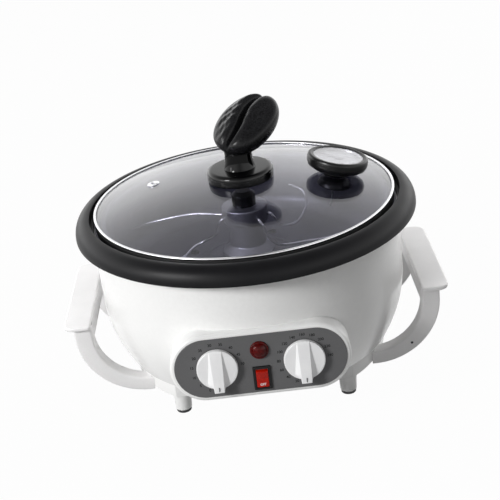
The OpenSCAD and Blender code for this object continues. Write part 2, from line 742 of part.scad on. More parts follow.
// Catmull-Rom curve through the points
function blend(a, b, c, d, t) = 0.5 * ((2 * b) + (c - a) * t + (2 * a - 5 * b + 4 * c - d) * t * t
    + (3 * b - a - 3 * c + d) * t * t * t);
wire_steps = 3;
function smooth_route(p) = concat(
    [for (i = [0 : len(p) - 2], k = [0 : wire_steps - 1])
        blend(p[max(i - 1, 0)], p[i], p[i + 1], p[min(i + 2, len(p) - 1)], k / wire_steps)],
    [p[len(p) - 1]]);
function unit(v) = v / norm(v);
// Frame carried along a route: each ring's normal is the last one, squared to the new direction
function carry(path, i, n) = i >= len(path) ? []
    : let (t = unit(path[min(i + 1, len(path) - 1)] - path[max(i - 1, 0)]), m = unit(n - (n * t) * t))
        concat([[path[i], m, cross(t, m)]], carry(path, i + 1, m));
module swept(path, r) {
    sides = 8;
    rings = carry(path, 0, [0, 0, 1]);
    points = [for (f = rings, k = [0 : sides - 1])
        f[0] + r * cos(360 * k / sides) * f[1] + r * sin(360 * k / sides) * f[2]];
    n = len(rings);
    walls = [for (i = [0 : n - 2], k = [0 : sides - 1]) let (a = i * sides + k, b = i * sides + (k + 1) % sides)
        each [[a, a + sides, b], [b, a + sides, b + sides]]];
    tail = (n - 1) * sides;
    first = [for (k = [1 : sides - 2]) [0, k, k + 1]];
    last = [for (k = [1 : sides - 2]) [tail, tail + k + 1, tail + k]];
    polyhedron(points = points, faces = concat(walls, first, last));
}
module stirrer_wires() {
    color("#d6d6da") placed() for (i = [0 : 3]) let (a = wire_angles[i])
        swept(smooth_route(concat([for (r = [wire_root_r, hub_r, hub_r + 2.5]) wire_point([r, 0, 0], a)],
            [for (p = wire_routes[i]) wire_point(p, a)])), wire_r);
}

// ---- Lid ----

glass_r = lid_r - 1.7;
glass_edge_z = rim_z - 1.4;
apex_z = rim_z + dome_rise;
dome_h = apex_z - glass_edge_z;
dome_radius = (glass_r * glass_r + dome_h * dome_h) / (2 * dome_h);
// Height of the outside of the glass at a distance from the middle
function dome_at(r) = apex_z - dome_radius + sqrt(dome_radius * dome_radius - r * r);
dome_steps = 18;
vent_x = -81.6;
vent_y = 25;
vent_r = 4;
glass_hole_r = 5;
module on_dome(x, y, lean) {
    r = norm([x, y]);
    placed() translate([x, y, dome_at(r)]) rotate([0, 0, atan2(y, x)]) rotate([0, lean, 0]) children();
}
function dome_lean(r) = asin(r / dome_radius);
module glass_dome() {
    color([0.55, 0.55, 0.6, 0.5]) difference() {
        placed() rotate_extrude() polygon(concat(
            [for (i = [0 : dome_steps]) let (r = glass_r * i / dome_steps) [r, dome_at(r)]],
            [for (i = [dome_steps : -1 : 0]) let (r = glass_r * i / dome_steps) [r, dome_at(r) - glass_t]]));
        placed() translate([0, 0, rim_z]) cylinder(r = 4, h = 40);
        on_dome(gauge_x, gauge_y, gauge_lean) translate([0, 0, -12]) cylinder(r = glass_hole_r + 0.3, h = 24);
        on_dome(vent_x, vent_y, dome_lean(norm([vent_x, vent_y]))) translate([0, 0, -8])
            cylinder(r = vent_r + seat_clear, h = 16);
    }
}
glass_low_z = glass_edge_z - glass_t;
band_h = 2;
band_in_r = glass_r + 0.1;
module lid_band() {
    lip = 2.3;
    color("#d9dadc") placed() rotate_extrude() polygon([
        [band_in_r, rim_z - band_h], [lid_r, rim_z - band_h], [lid_r, rim_z - 0.5], [lid_r - 0.5, rim_z],
        [lid_r - lip, rim_z], [lid_r - lip, rim_z - 0.8], [band_in_r, rim_z - 0.8]]);
}
// Seal under the glass and its band; its foot rests on the pan's flange
module lid_gasket() {
    out_r = lid_r - 0.3;
    color(black) placed() rotate_extrude() polygon([
        [lid_r - 5.5, lid_seat_z], [out_r, lid_seat_z], [out_r, rim_z - band_h], [band_in_r, rim_z - band_h],
        [band_in_r, glass_low_z - 0.15], [lid_r - 5.5, glass_low_z - 0.15]]);
}
module vent_grommet() {
    color("#9a9a9e") on_dome(vent_x, vent_y, dome_lean(norm([vent_x, vent_y]))) difference() {
        union() {
            translate([0, 0, -glass_t - 0.8]) cylinder(r = vent_r, h = glass_t + 1.6);
            translate([0, 0, 0.2]) cylinder(r = vent_r + 1.8, h = 0.8);
            translate([0, 0, -glass_t - 1]) cylinder(r = vent_r + 1.8, h = 0.8);
        }
        translate([0, 0, -10]) cylinder(r = vent_r - 1.1, h = 20);
    }
}
base_disc_z = dome_at(knob_base_r) + 0.3;
stem_z = base_disc_z + knob_base_h;
stem_top_z = stem_z + stem_h;
module knob_base() {
    color(black) placed() difference() {
        rotate_extrude() polygon(concat(
            [[0, apex_z + 0.1], [7, apex_z + 0.1], [7, base_disc_z + 3], [knob_base_r - 4, base_disc_z + 3],
                [knob_base_r - 4, base_disc_z], [knob_base_r - 2, base_disc_z]],
            arc(knob_base_r - 3.5, base_disc_z + 3.5, 3.5, -60, 0, 4),
            arc(knob_base_r - 4.5, stem_z - 6, 4.5, 0, 75, 5),
            [[stem_r + 4, stem_z], [0, stem_z]]));
        translate([0, 0, base_disc_z - 1]) cylinder(r = screw_r + 0.7, h = knob_base_h + 2);
    }
}
stem_reach = 8;
stem_flare = 2.6;
module knob_stem() {
    color(black) placed() difference() {
        rotate_extrude() polygon(concat(
            [[0, stem_z], [stem_r + stem_flare, stem_z]],
            [for (i = [1 : 9]) let (t = i / 10) [stem_r + stem_flare * pow(1 - t, 3), stem_z + stem_h * t]],
            [[stem_r, stem_top_z], [stem_r - 1, stem_top_z + 0.01],
                [stem_r - 1, stem_top_z + stem_reach], [0, stem_top_z + stem_reach]]));
        translate([0, 0, stem_z - 1]) cylinder(r = screw_r + 0.5 + push_clear, h = 13);
    }
}
module knob_screw() {
    under = apex_z - glass_t;
    color(steel) placed() union() {
        translate([0, 0, under - 1.7]) cylinder(r = 9, h = 1.6);
        translate([0, 0, under - 5]) cylinder(r = 4.5, h = 3.4);
        translate([0, 0, under - 2]) cylinder(r = screw_r + 0.5, h = stem_z + 11 - under + 2);
    }
}
// Bean: its long axis is x, its grooved face looks along +z
bean_turn = [5.1, -26.9, 45.9];
bean_offset = [10.3, -6, stem_h + 24.4];
bean_rings = 22;
bean_sides = 32;
function bean_point(i, k) =
    let (t = 180 * i / bean_rings, u = 360 * k / bean_sides,
        s = pow(sin(t), 0.85), y = bean_w / 2 * s * cos(u), up = sin(u),
        face = bean_t * 0.36, back = bean_t * 0.64,
        z = s * (up > 0 ? face * pow(up, 0.7) : back * up),
        groove = up > 0 ? 5 * s * exp(-pow(y / 2.6, 2)) : 0)
    [-bean_l / 2 * cos(t), y, z - groove];
module bean_solid() {
    first = [-bean_l / 2, 0, 0];
    last = [bean_l / 2, 0, 0];
    rings = [for (i = [1 : bean_rings - 1], k = [0 : bean_sides - 1]) bean_point(i, k)];
    count = len(rings);
    walls = [for (i = [0 : bean_rings - 3], k = [0 : bean_sides - 1])
        let (a = i * bean_sides + k, b = i * bean_sides + (k + 1) % bean_sides)
            each [[a, a + bean_sides, b], [b, a + bean_sides, b + bean_sides]]];
    start_cap = [for (k = [0 : bean_sides - 1]) [count, k, (k + 1) % bean_sides]];
    tail = (bean_rings - 2) * bean_sides;
    end_cap = [for (k = [0 : bean_sides - 1]) [count + 1, tail + (k + 1) % bean_sides, tail + k]];
    polyhedron(points = concat(rings, [first, last]), faces = concat(walls, start_cap, end_cap));
}
module bean_knob() {
    color("#26262a") placed() difference() {
        translate([bean_offset[0], bean_offset[1], stem_z + bean_offset[2]]) rotate(bean_turn) bean_solid();
        translate([0, 0, stem_top_z - 20]) cylinder(r = stem_r + 0.1, h = 20.05);
        translate([0, 0, stem_top_z]) cylinder(r = stem_r - 0.9, h = stem_reach + 0.05);
    }
}

// ---- Thermometer, in its own leaning frame with z = 0 at the glass ----

module on_gauge() { on_dome(gauge_x, gauge_y, gauge_lean) children(); }
neck_pin_r = glass_hole_r - 0.2;
case_z = neck_h;
lip_t = 0.7;
lens_t = 1.4;
lens_z = case_z + gauge_h - lip_t - 0.2 - lens_t;
dial_t = 0.8;
dial_z = lens_z - 2.9;
bezel_w = 5.1;
neck_foot = 10.5;
// The flange is lifted by as much as its edge leans more than the glass does
flange_lift = 0.32 + (flange_r - 1.5) * sin(abs(gauge_lean - dome_lean(norm([gauge_x, gauge_y]))));
module thermometer_neck() {
    color(black) on_gauge() rotate_extrude() polygon(concat(
        [[0, -glass_t - neck_foot], [neck_pin_r, -glass_t - neck_foot], [neck_pin_r, flange_lift], [flange_r - 1.5, flange_lift],
            [flange_r, flange_lift + 1], [flange_r - 0.6, flange_lift + 2.4], [flange_r - 4, neck_h], [0, neck_h]]));
}
module thermometer_case() {
    top = case_z + gauge_h;
    color(black) on_gauge() difference() {
        rotate_extrude() polygon([[0, case_z], [gauge_r - 5, case_z], [gauge_r - 1.5, case_z + 2.5],
            [gauge_r, case_z + 5.5], [gauge_r, top - 3], [gauge_r - 1, top - 1], [gauge_r - 2.6, top],
            [0, top]]);
        translate([0, 0, dial_z]) cylinder(r = gauge_r - 3.8, h = lens_z - dial_z + 0.01);
        translate([0, 0, lens_z]) cylinder(r = gauge_r - 3, h = lens_t + 0.2);
        translate([0, 0, lens_z]) cylinder(r = gauge_r - bezel_w, h = 10);
        translate([0, 0, case_z + 1]) cylinder(r = 1 + run_clear, h = gauge_h);
    }
}
module thermometer_dial() {
    color("#e4e4e6") on_gauge() translate([0, 0, dial_z]) tube(gauge_r - 4, 1 + run_clear, dial_t);
}
needle_turn = 150;
module thermometer_needle() {
    reach = gauge_r - 9;
    dial_top = dial_z + dial_t;
    color(black) on_gauge() union() {
        translate([0, 0, case_z + 1.2]) cylinder(r = 1, h = dial_top + 1.2 - case_z - 1.2);
        translate([0, 0, dial_top + 0.4]) cylinder(r = 2.2, h = 1);
        translate([0, 0, dial_top + 0.6]) rotate(needle_turn) linear_extrude(0.6)
            polygon([[-5, -1], [0, -1.1], [reach, -0.3], [reach, 0.3], [0, 1.1], [-5, 1]]);
    }
}
module thermometer_lens() {
    color([0.9, 0.9, 0.95, 0.4]) on_gauge() translate([0, 0, lens_z])
        cylinder(r = gauge_r - 3.1, h = lens_t);
}
module thermometer_probe() {
    color(steel) on_gauge() translate([0, 0, -34]) cylinder(r = 1.3, h = 34 - glass_t - neck_foot);
}
// Bell-shaped nut that clamps the thermometer from under the glass
module thermometer_nut() {
    in_r = neck_pin_r + push_clear;
    color(black) on_gauge() translate([0, 0, -glass_t]) rotate_extrude() polygon([
        [in_r, -1], [9.5, -1], [12, -3], [14.4, -6], [15.5, -9], [14.5, -10], [in_r, -10]]);
}

outer_shell();
base_shell();
base_screws();
legs();
leg_screws();
rubber_feet();
rim_ring();
roasting_pan();
pan_gasket();
pan_screws();
pan_posts();
cable_gland();
gland_nut();
left_handle_frame();
right_handle_frame();
left_grip();
right_grip();
handle_screws();
grip_screws();
chassis_plate();
heat_shield();
heating_element();
element_brackets();
thermal_fuse();
terminal_block();
gear_motor();
motor_screws();
drive_shaft();
shaft_bush();
control_housing();
control_label();
timer_body();
thermostat_body();
timer_shaft();
thermostat_shaft();
control_nuts();
timer_knob();
temperature_knob();
lamp_body();
lamp_lens();
switch_frame();
switch_rocker();
stirrer_hub();
stirrer_cap();
stirrer_wires();
glass_dome();
lid_band();
lid_gasket();
vent_grommet();
knob_base();
knob_stem();
bean_knob();
knob_screw();
thermometer_neck();
thermometer_case();
thermometer_dial();
thermometer_needle();
thermometer_lens();
thermometer_probe();
thermometer_nut();
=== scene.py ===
"""Looks of the countertop coffee bean roaster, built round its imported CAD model."""

import json
import math

import bmesh
import bpy
import numpy as np
from mathutils import Matrix, Vector


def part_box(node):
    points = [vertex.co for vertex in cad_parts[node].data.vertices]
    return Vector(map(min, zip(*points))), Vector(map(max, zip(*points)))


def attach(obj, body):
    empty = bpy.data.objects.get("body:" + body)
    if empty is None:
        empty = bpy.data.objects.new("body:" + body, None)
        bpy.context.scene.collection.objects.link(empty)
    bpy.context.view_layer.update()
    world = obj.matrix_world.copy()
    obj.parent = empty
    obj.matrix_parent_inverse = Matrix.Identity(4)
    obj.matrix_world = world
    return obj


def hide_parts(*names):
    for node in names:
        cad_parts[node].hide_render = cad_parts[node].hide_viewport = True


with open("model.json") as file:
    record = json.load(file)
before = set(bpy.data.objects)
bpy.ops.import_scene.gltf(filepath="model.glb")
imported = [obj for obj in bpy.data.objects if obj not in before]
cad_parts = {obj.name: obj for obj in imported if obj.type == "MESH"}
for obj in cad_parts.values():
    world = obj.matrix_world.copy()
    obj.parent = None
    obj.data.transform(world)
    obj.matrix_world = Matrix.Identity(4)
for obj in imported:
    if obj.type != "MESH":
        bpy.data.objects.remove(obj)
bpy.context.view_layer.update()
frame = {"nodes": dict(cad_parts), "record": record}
NODES = frame["nodes"]

MM = 0.001
ring_low, ring_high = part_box("rim_ring")
AXIS_Y = (ring_low.y + ring_high.y) / 2 / MM  # the bowl's axis stands this far behind the origin
BASE_Z, SEAM_Z = (c.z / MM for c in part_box("base_shell"))
RIM_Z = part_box("lid_band")[1].z / MM  # the lid's edge
SEAT_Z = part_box("roasting_pan")[1].z / MM  # the pan's flange, on which the lid stands

# Sizes in mm that the pieces below share with the CAD model
LID_R = 136.5
RING_IN_R, RING_OUT_R = 141.0, 154.97
DOME_RISE, GLASS_T = 16.5, 4.0
GLASS_R = LID_R - 1.7
CAP_RISE = DOME_RISE + 1.4  # the glass goes on below the lid's edge
BALL_R = (GLASS_R ** 2 + CAP_RISE ** 2) / (2 * CAP_RISE)
GAUGE_X, GAUGE_LEAN, GAUGE_R, NECK_H = 85.3, math.radians(12.3), 27.5, 5.0
PANEL_TILT = math.radians(6)
PANEL_OUT, PANEL_DROP = 148.0, 91.5  # the panel's middle, in front of the bowl's axis and below the lid's edge
KNOB_X = 36.0


# ---------------------------------------------------------------- camera

def point_camera():
    """Camera one metre from the lid's edge plane, turned so that the object leans in the frame as in the photograph."""
    distance, azimuth, elevation, lean = 1000, math.radians(0.8), math.radians(21.617), math.radians(6.894)
    back = np.array([math.sin(azimuth) * math.cos(elevation), -math.cos(azimuth) * math.cos(elevation),
                     math.sin(elevation)])
    centre = np.array([0, AXIS_Y, RIM_Z])
    place = centre + back * distance
    aim = np.array([0.21, 0, -57.0])  # the point looked at, from the middle of the lid's edge
    ahead = centre + aim - place
    ahead /= np.linalg.norm(ahead)
    right = np.cross(ahead, [0, 0, 1])
    right /= np.linalg.norm(right)
    up = np.cross(right, ahead)
    x = math.cos(lean) * right - math.sin(lean) * up
    y = math.sin(lean) * right + math.cos(lean) * up
    camera = bpy.data.objects.new("camera", bpy.data.cameras.new("camera"))
    bpy.context.collection.objects.link(camera)
    turned_axes = Matrix(np.stack([x, y, -ahead], axis=1).tolist()).to_4x4()
    camera.matrix_world = Matrix.Translation(Vector(place) * MM) @ turned_axes
    focal_px, film_mm, frame_px = 1099.2, 36, 500
    camera.data.lens = focal_px * film_mm / frame_px
    camera.data.clip_start, camera.data.clip_end = 0.05, 50
    bpy.context.scene.camera = camera


point_camera()


# ---------------------------------------------------------------- materials

def colour(code):
    """sRGB hex to linear RGBA."""
    parts = np.array([int(code[i:i + 2], 16) / 255 for i in (1, 3, 5)])
    line = np.where(parts <= 0.04045, parts / 12.92, ((parts + 0.055) / 1.055) ** 2.4)
    return (*line.tolist(), 1.0)


def add(tree, kind, links=(), **settings):
    """Adds a node. settings are its properties or, with the input's name, values; links are (input, output socket)."""
    n = tree.nodes.new(kind)
    for key, value in settings.items():
        if hasattr(n, key):
            setattr(n, key, value)
        else:
            n.inputs[key.replace("_", " ")].default_value = value
    for place, source in links:
        tree.links.new(n.inputs[place], source)
    return n


def fresh(name):
    """A new material with its node tree and its Principled node."""
    material = bpy.data.materials.new(name)
    material.use_nodes = True
    tree = material.node_tree
    return material, tree, tree.nodes["Principled BSDF"]


def grain_of(tree, size_mm, detail=2.0, stretch=(1, 1, 1)):
    """A noise pattern on Object coordinates whose bumps are about size_mm across."""
    where = add(tree, "ShaderNodeTexCoord")
    placed = add(tree, "ShaderNodeMapping", [("Vector", where.outputs["Object"])], Scale=stretch)
    return add(tree, "ShaderNodeTexNoise", [("Vector", placed.outputs[0])], Scale=1000 / size_mm, Detail=detail)


def ramp(tree, source, stops):
    """A colour ramp over a factor; stops are (place, hex)."""
    n = add(tree, "ShaderNodeValToRGB", [("Fac", source)])
    for i, (place, code) in enumerate(stops):
        e = n.color_ramp.elements[i] if i < 2 else n.color_ramp.elements.new(place)
        e.position, e.color = place, colour(code)
    return n


def spread(tree, source, low, high):
    """Maps a 0 to 1 factor to the range low to high."""
    return add(tree, "ShaderNodeMapRange", [("Value", source)], To_Min=low, To_Max=high)


def finish_of(name, pale, dark, rough, size_mm, bump_mm, metal=0.0, stretch=(1, 1, 1), wear_mm=0.0, wear=None,
              shine=0.5):
    """A moulded, painted or metal finish: two close colours and a spread of roughness mixed by one noise, and a
    bump by the same noise. rough is (low, high). wear is a hex that a second, broad noise brings in by patches
    wear_mm across, for handling, heat or cloudiness."""
    material, tree, shader = fresh(name)
    noise = grain_of(tree, size_mm, 3.0, stretch)
    tint = ramp(tree, noise.outputs["Fac"], [(0.35, dark), (0.65, pale)]).outputs[0]
    polish = spread(tree, noise.outputs["Fac"], *rough).outputs[0]
    if wear:
        patch = spread(tree, grain_of(tree, wear_mm, 4.0).outputs["Fac"], -0.9, 1.5).outputs[0]
        tint = add(tree, "ShaderNodeMix", [(0, patch), (6, tint)], data_type="RGBA")
        tint.inputs[7].default_value = colour(wear)
        tint = tint.outputs[2]
        polish = add(tree, "ShaderNodeMath", [(0, polish), (1, spread(tree, patch, 0.0, 0.06).outputs[0])]).outputs[0]
    tree.links.new(shader.inputs["Base Color"], tint)
    tree.links.new(shader.inputs["Roughness"], polish)
    bump = add(tree, "ShaderNodeBump", [("Height", noise.outputs["Fac"])], Distance=bump_mm * MM, Strength=1.0)
    tree.links.new(shader.inputs["Normal"], bump.outputs[0])
    shader.inputs["Metallic"].default_value = metal
    shader.inputs["Specular IOR Level"].default_value = shine
    return material


MATERIALS = {
    # Vitreous enamel fired on drawn steel: a deep even white with a faint orange-peel ripple
    "shell_paint": finish_of("fired_white_enamel", "#f1f1f0", "#eeeeed", (0.18, 0.23), 3.5, 0.006,
                             wear_mm=60, wear="#ececeb"),
    # ABS from a polished mould: even white, slightly softer shine than the enamel
    "base_plastic": finish_of("polished_white_abs", "#f0f0ef", "#ededec", (0.26, 0.32), 0.8, 0.004,
                              wear_mm=40, wear="#eaeae9"),
    # ABS from a spark-eroded mould: a fine matt grain that hides finger marks
    "handle_plastic": finish_of("grained_white_abs", "#efeeee", "#ebeaea", (0.38, 0.46), 0.7, 0.02,
                                wear_mm=30, wear="#e7e6e6"),
    # Knobs of the same ABS, handled until they are a little smoother
    "knob_plastic": finish_of("handled_white_abs", "#f0f0f0", "#ededee", (0.3, 0.36), 0.6, 0.006,
                              wear_mm=12, wear="#e9e9ea"),
    # Cold-headed steel with bright zinc plating
    "screw_steel": finish_of("zinc_plated_steel", "#b9babd", "#a4a5a8", (0.3, 0.4), 0.4, 0.01, metal=1.0),
    # Pan screws darkened by heat and oil
    "pan_screw_steel": finish_of("heat_darkened_steel", "#3a3a3d", "#2a2a2c", (0.35, 0.5), 0.4, 0.01, metal=1.0),
    # Press-moulded rubber feet, matt and slightly dusty
    "foot_rubber": finish_of("moulded_rubber", "#1c1c1d", "#131314", (0.6, 0.75), 0.4, 0.03,
                             wear_mm=6, wear="#262627"),
    "gasket_rubber": finish_of("black_silicone", "#161617", "#0f0f10", (0.5, 0.6), 0.5, 0.01),
    # Glass-filled polyamide ring: black with a fine satin skin that lifts to grey where light grazes it
    "ring_plastic": finish_of("glass_filled_polyamide", "#0f0f11", "#0a0a0c", (0.34, 0.44), 0.6, 0.02,
                              wear_mm=25, wear="#121214", shine=0.12),
    # PTFE sprayed on aluminium: slate grey with a sparkle of fine pigment
    "pan_coating": finish_of("sprayed_ptfe", "#62626c", "#4b4b53", (0.34, 0.46), 0.9, 0.02, metal=0.25,
                             wear_mm=35, wear="#52525b"),
    # Hot-dip galvanised sheet: broad pale spangles
    "inner_steel": finish_of("galvanised_sheet", "#b4b6b8", "#96989b", (0.3, 0.5), 7.0, 0.01, metal=1.0),
    # Element sheath: steel browned by its own heat
    "element_sheath": finish_of("heat_browned_steel", "#6a625a", "#4c4640", (0.45, 0.6), 1.0, 0.01, metal=1.0,
                                wear_mm=18, wear="#3c3a44"),
    "cream_plastic": finish_of("cream_melamine", "#d8d0b4", "#cfc7ac", (0.4, 0.5), 0.8, 0.01),
    "shaft_steel": finish_of("ground_steel", "#c2c3c5", "#b0b1b4", (0.18, 0.28), 0.5, 0.003, metal=1.0,
                             stretch=(1, 1, 12)),
    "bush_brass": finish_of("turned_brass", "#c9a45c", "#b58f48", (0.25, 0.35), 0.5, 0.003, metal=1.0,
                            stretch=(1, 1, 12)),
    # Screen-printed polycarbonate faceplate, satin on the face
    "label_grey": finish_of("satin_polycarbonate", "#646465", "#5d5d5e", (0.24, 0.32), 0.5, 0.004,
                            wear_mm=20, wear="#616162", shine=0.2),
    # Tinted acrylic lamp cap, clear skin over deep red
    "lamp_red": finish_of("tinted_red_acrylic", "#580303", "#400101", (0.08, 0.14), 1.6, 0.01, shine=0.12),
    "switch_black": finish_of("black_polyamide_switch", "#101011", "#0a0a0b", (0.34, 0.42), 0.5, 0.006, shine=0.2),
    # Translucent polycarbonate rocker, saturated orange red
    "rocker_red": finish_of("translucent_polycarbonate", "#bc1d0a", "#9a1204", (0.18, 0.26), 1.2, 0.004, shine=0.15),
    # Die-cast and turned aluminium hub, faint turning rings
    "hub_metal": finish_of("turned_aluminium", "#9c9ca2", "#85858c", (0.4, 0.5), 0.7, 0.006, metal=0.85,
                           stretch=(1, 1, 8)),
    "cap_black": finish_of("black_phenolic", "#161618", "#0e0e10", (0.24, 0.34), 0.6, 0.008, shine=0.3),
    # Drawn stainless wire, bright
    "wire_steel": finish_of("drawn_stainless_wire", "#e4e4e8", "#d2d2d6", (0.14, 0.22), 0.5, 0.003, metal=1.0),
    "band_steel": finish_of("rolled_stainless_band", "#e4e4e6", "#d6d6d9", (0.16, 0.24), 0.6, 0.002, metal=1.0,
                            stretch=(1, 1, 6)),
    # Compression-moulded phenolic: the disc is satin, the stem buffed to a gloss
    "knob_base_black": finish_of("buffed_phenolic_disc", "#09090a", "#060607", (0.12, 0.2), 0.8, 0.004, shine=0.2),
    "stem_gloss": finish_of("gloss_phenolic", "#050506", "#030304", (0.05, 0.08), 2.0, 0.002, shine=0.14),
    "bean_black": finish_of("moulded_charcoal_phenolic", "#1d1d1f", "#0d0d0e", (0.2, 0.3), 1.4, 0.02, shine=0.12),
    # Phenolic case with a fine blasted skin
    "gauge_black": finish_of("blasted_phenolic", "#111112", "#0a0a0b", (0.24, 0.34), 0.6, 0.02, shine=0.2),
    # Brushed aluminium dial, its brush marks a few millimetres long across it
    "dial_face": finish_of("brushed_dial_aluminium", "#d6d6d9", "#a8a8ad", (0.3, 0.42), 3.2, 0.004, metal=0.3,
                           stretch=(0.35, 1.6, 1)),
    "needle_grey": finish_of("painted_pointer", "#a9a9ad", "#98989c", (0.4, 0.5), 0.5, 0.002),
}


def clear_glass(name, tint, rough=0.0):
    """Clear glass that lets the lamps' rays and diffuse light straight through, so that what is under it stays lit."""
    material, tree, shader = fresh(name)
    shader.inputs["Base Color"].default_value = colour(tint)
    shader.inputs["Roughness"].default_value = rough
    shader.inputs["IOR"].default_value = 1.5
    shader.inputs["Transmission Weight"].default_value = 1.0
    rays = add(tree, "ShaderNodeLightPath")
    either = add(tree, "ShaderNodeMath", [(0, rays.outputs["Is Shadow Ray"]), (1, rays.outputs["Is Diffuse Ray"])],
                 operation="MAXIMUM")
    through = add(tree, "ShaderNodeBsdfTransparent", Color=colour(tint))
    mixed = add(tree, "ShaderNodeMixShader", [(0, either.outputs[0]), (1, shader.outputs[0]), (2, through.outputs[0])])
    tree.links.new(tree.nodes["Material Output"].inputs["Surface"], mixed.outputs[0])
    return material


MATERIALS["lid_glass"] = clear_glass("tinted_tempered_glass", "#dadae2")
MATERIALS["lens_glass"] = clear_glass("clear_lens_glass", "#f4f4f6")

SLOT_OF = {s["node"]: s["material_slot"] for s in frame["record"]["subparts"]}
BODY_OF = {node: body for body, nodes in frame["record"]["behaviour"]["bodies"].items() for node in nodes}
for node_name, cad in NODES.items():
    cad.data.materials.clear()
    cad.data.materials.append(MATERIALS[SLOT_OF[node_name]])


# ---------------------------------------------------------------- mesh tools

def piece(name, node, points, faces, replaces=True, sharp=34, slot=None):
    """A mesh in mm made a piece: doubles merged, faces turned outwards, smooth up to the sharp angle. It takes the
    body of its CAD node, and its slot unless another is given, and stands in for it where replaces is set."""
    mesh = bpy.data.meshes.new(name)
    mesh.from_pydata((np.asarray(points).reshape(-1, 3) * MM).tolist(), [], faces)
    bm = bmesh.new()
    bm.from_mesh(mesh)
    bmesh.ops.remove_doubles(bm, verts=bm.verts, dist=2e-6)
    bmesh.ops.recalc_face_normals(bm, faces=bm.faces)
    bm.to_mesh(mesh)
    bm.free()
    mesh.shade_smooth()
    mesh.set_sharp_from_angle(angle=math.radians(sharp))
    slot = slot or SLOT_OF[node]
    mesh.materials.append(MATERIALS[slot])
    o = bpy.data.objects.new(name, mesh)
    bpy.context.collection.objects.link(o)
    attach(o, BODY_OF[node])
    if replaces:
        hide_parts(node)
    return o


def loft(rows, closed=False, start=0):
    """Quads between rows of points, each row a closed loop of equal length; the rows close on themselves, or their
    first and last loops are capped. start is the number that the first point has in the whole mesh."""
    count, around = rows.shape[:2]
    r = np.arange(count if closed else count - 1)[:, None]
    c = np.arange(around)[None, :]
    after = (r + 1) % count
    turn = (c + 1) % around
    quads = np.stack([r * around + c, r * around + turn, after * around + turn, after * around + c], axis=-1)
    faces = (quads.reshape(-1, 4) + start).tolist()
    if not closed:
        faces += [(np.arange(around)[::-1] + start).tolist(),
                  (np.arange(around) + (count - 1) * around + start).tolist()]
    return faces


def lofted(name, node, parts, **settings):
    """One piece of several lofts; parts are (rows, closed)."""
    points, faces, start = [], [], 0
    for rows, closed in parts:
        faces += loft(rows, closed, start)
        points.append(rows.reshape(-1, 3))
        start += rows.shape[0] * rows.shape[1]
    return piece(name, node, np.concatenate(points), faces, **settings)


def rounded(corners, steps=5, closed=False):
    """A line through corners given as (x, y, radius). Each corner becomes a parabola that leaves and meets its sides
    at the distance where an arc of that radius would, or at half the shorter side."""
    p = np.array([c[:2] for c in corners], float)
    radius = np.array([c[2] for c in corners], float)
    before, after = np.roll(p, 1, axis=0) - p, np.roll(p, -1, axis=0) - p
    if not closed:
        before[0], after[-1] = after[0], before[-1]
    a, b = (np.linalg.norm(v, axis=1, keepdims=True) for v in (before, after))
    before, after = before / a, after / b
    half = np.arccos(np.clip((before * after).sum(1), -1, 1)) / 2
    reach = np.minimum(radius / np.maximum(np.tan(half), 1e-6), np.minimum(a, b)[:, 0] * 0.49)
    if not closed:
        reach[[0, -1]] = 0
    t = np.linspace(0, 1, steps + 1)[None, :, None]
    first, last = p + before * reach[:, None], p + after * reach[:, None]
    line = (1 - t) ** 2 * first[:, None] + 2 * t * (1 - t) * p[:, None] + t ** 2 * last[:, None]
    line = line.reshape(-1, 2)
    keep = np.r_[True, np.linalg.norm(np.diff(line, axis=0), axis=1) > 1e-6]
    return line[keep]


def spun(profile, sides=160, place=None):
    """Rows of a profile (radius, height) carried round its axis; place turns local points to the object's frame."""
    a = np.linspace(0, 2 * np.pi, sides, endpoint=False)
    r, z = np.asarray(profile, float).T
    rows = np.stack([r[:, None] * np.cos(a), r[:, None] * np.sin(a), np.repeat(z[:, None], sides, 1)], axis=-1)
    return place(rows) if place else rows + [0, AXIS_Y, 0]


def local(p):
    """Leaves spun rows round their own axis, for a frame such as the panel's that takes them afterwards."""
    return p


def turned(line, turn):
    """A flat line turned about its origin."""
    c, s = math.cos(turn), math.sin(turn)
    return np.stack([line[:, 0] * c - line[:, 1] * s, line[:, 0] * s + line[:, 1] * c], axis=1)


def layers(line, heights):
    """Rows of a flat outline at several heights."""
    return np.array([np.c_[line, np.full(len(line), z)] for z in heights])


def inset(outline, distance):
    """A closed outline moved inwards along its own normals."""
    along = np.roll(outline, -1, axis=0) - np.roll(outline, 1, axis=0)
    along /= np.linalg.norm(along, axis=1, keepdims=True)
    twice_area = (outline[:, 0] * np.roll(outline[:, 1], -1) - np.roll(outline[:, 0], -1) * outline[:, 1]).sum()
    turn = 1 if twice_area > 0 else -1
    return outline + np.stack([-along[:, 1], along[:, 0]], axis=1) * distance * turn


def slab(outline, low, high, round_low, round_high, steps=5):
    """Rows of a plate on an outline whose lower and upper edges are quarter rounds. A last row half a millimetre
    inside each edge keeps the shading of the flat faces flat."""
    a = np.linspace(0, np.pi / 2, steps + 1)
    levels = [(round_low * (1 - math.sin(t)), low + round_low * (1 - math.cos(t))) for t in a]
    levels += [(round_high * (1 - math.cos(t)), high - round_high * (1 - math.sin(t))) for t in a]
    levels = [(round_low + 0.5, low), *levels, (round_high + 0.5, high)]
    rows = [np.c_[inset(outline, d), np.full(len(outline), z)] for d, z in levels]
    return np.array(rows)


def stadium(width, height, steps=40):
    """Outline with a straight top and bottom and round ends."""
    a = np.linspace(-np.pi / 2, np.pi / 2, steps)
    right = np.stack([(width - height) / 2 + height / 2 * np.cos(a), height / 2 * np.sin(a)], axis=1)
    return np.concatenate([right, -right])


def box_outline(width, height, radius, steps=5):
    """Rectangle outline with round corners."""
    w, h = width / 2, height / 2
    return rounded([(-w, -h, radius), (w, -h, radius), (w, h, radius), (-w, h, radius)], steps, closed=True)


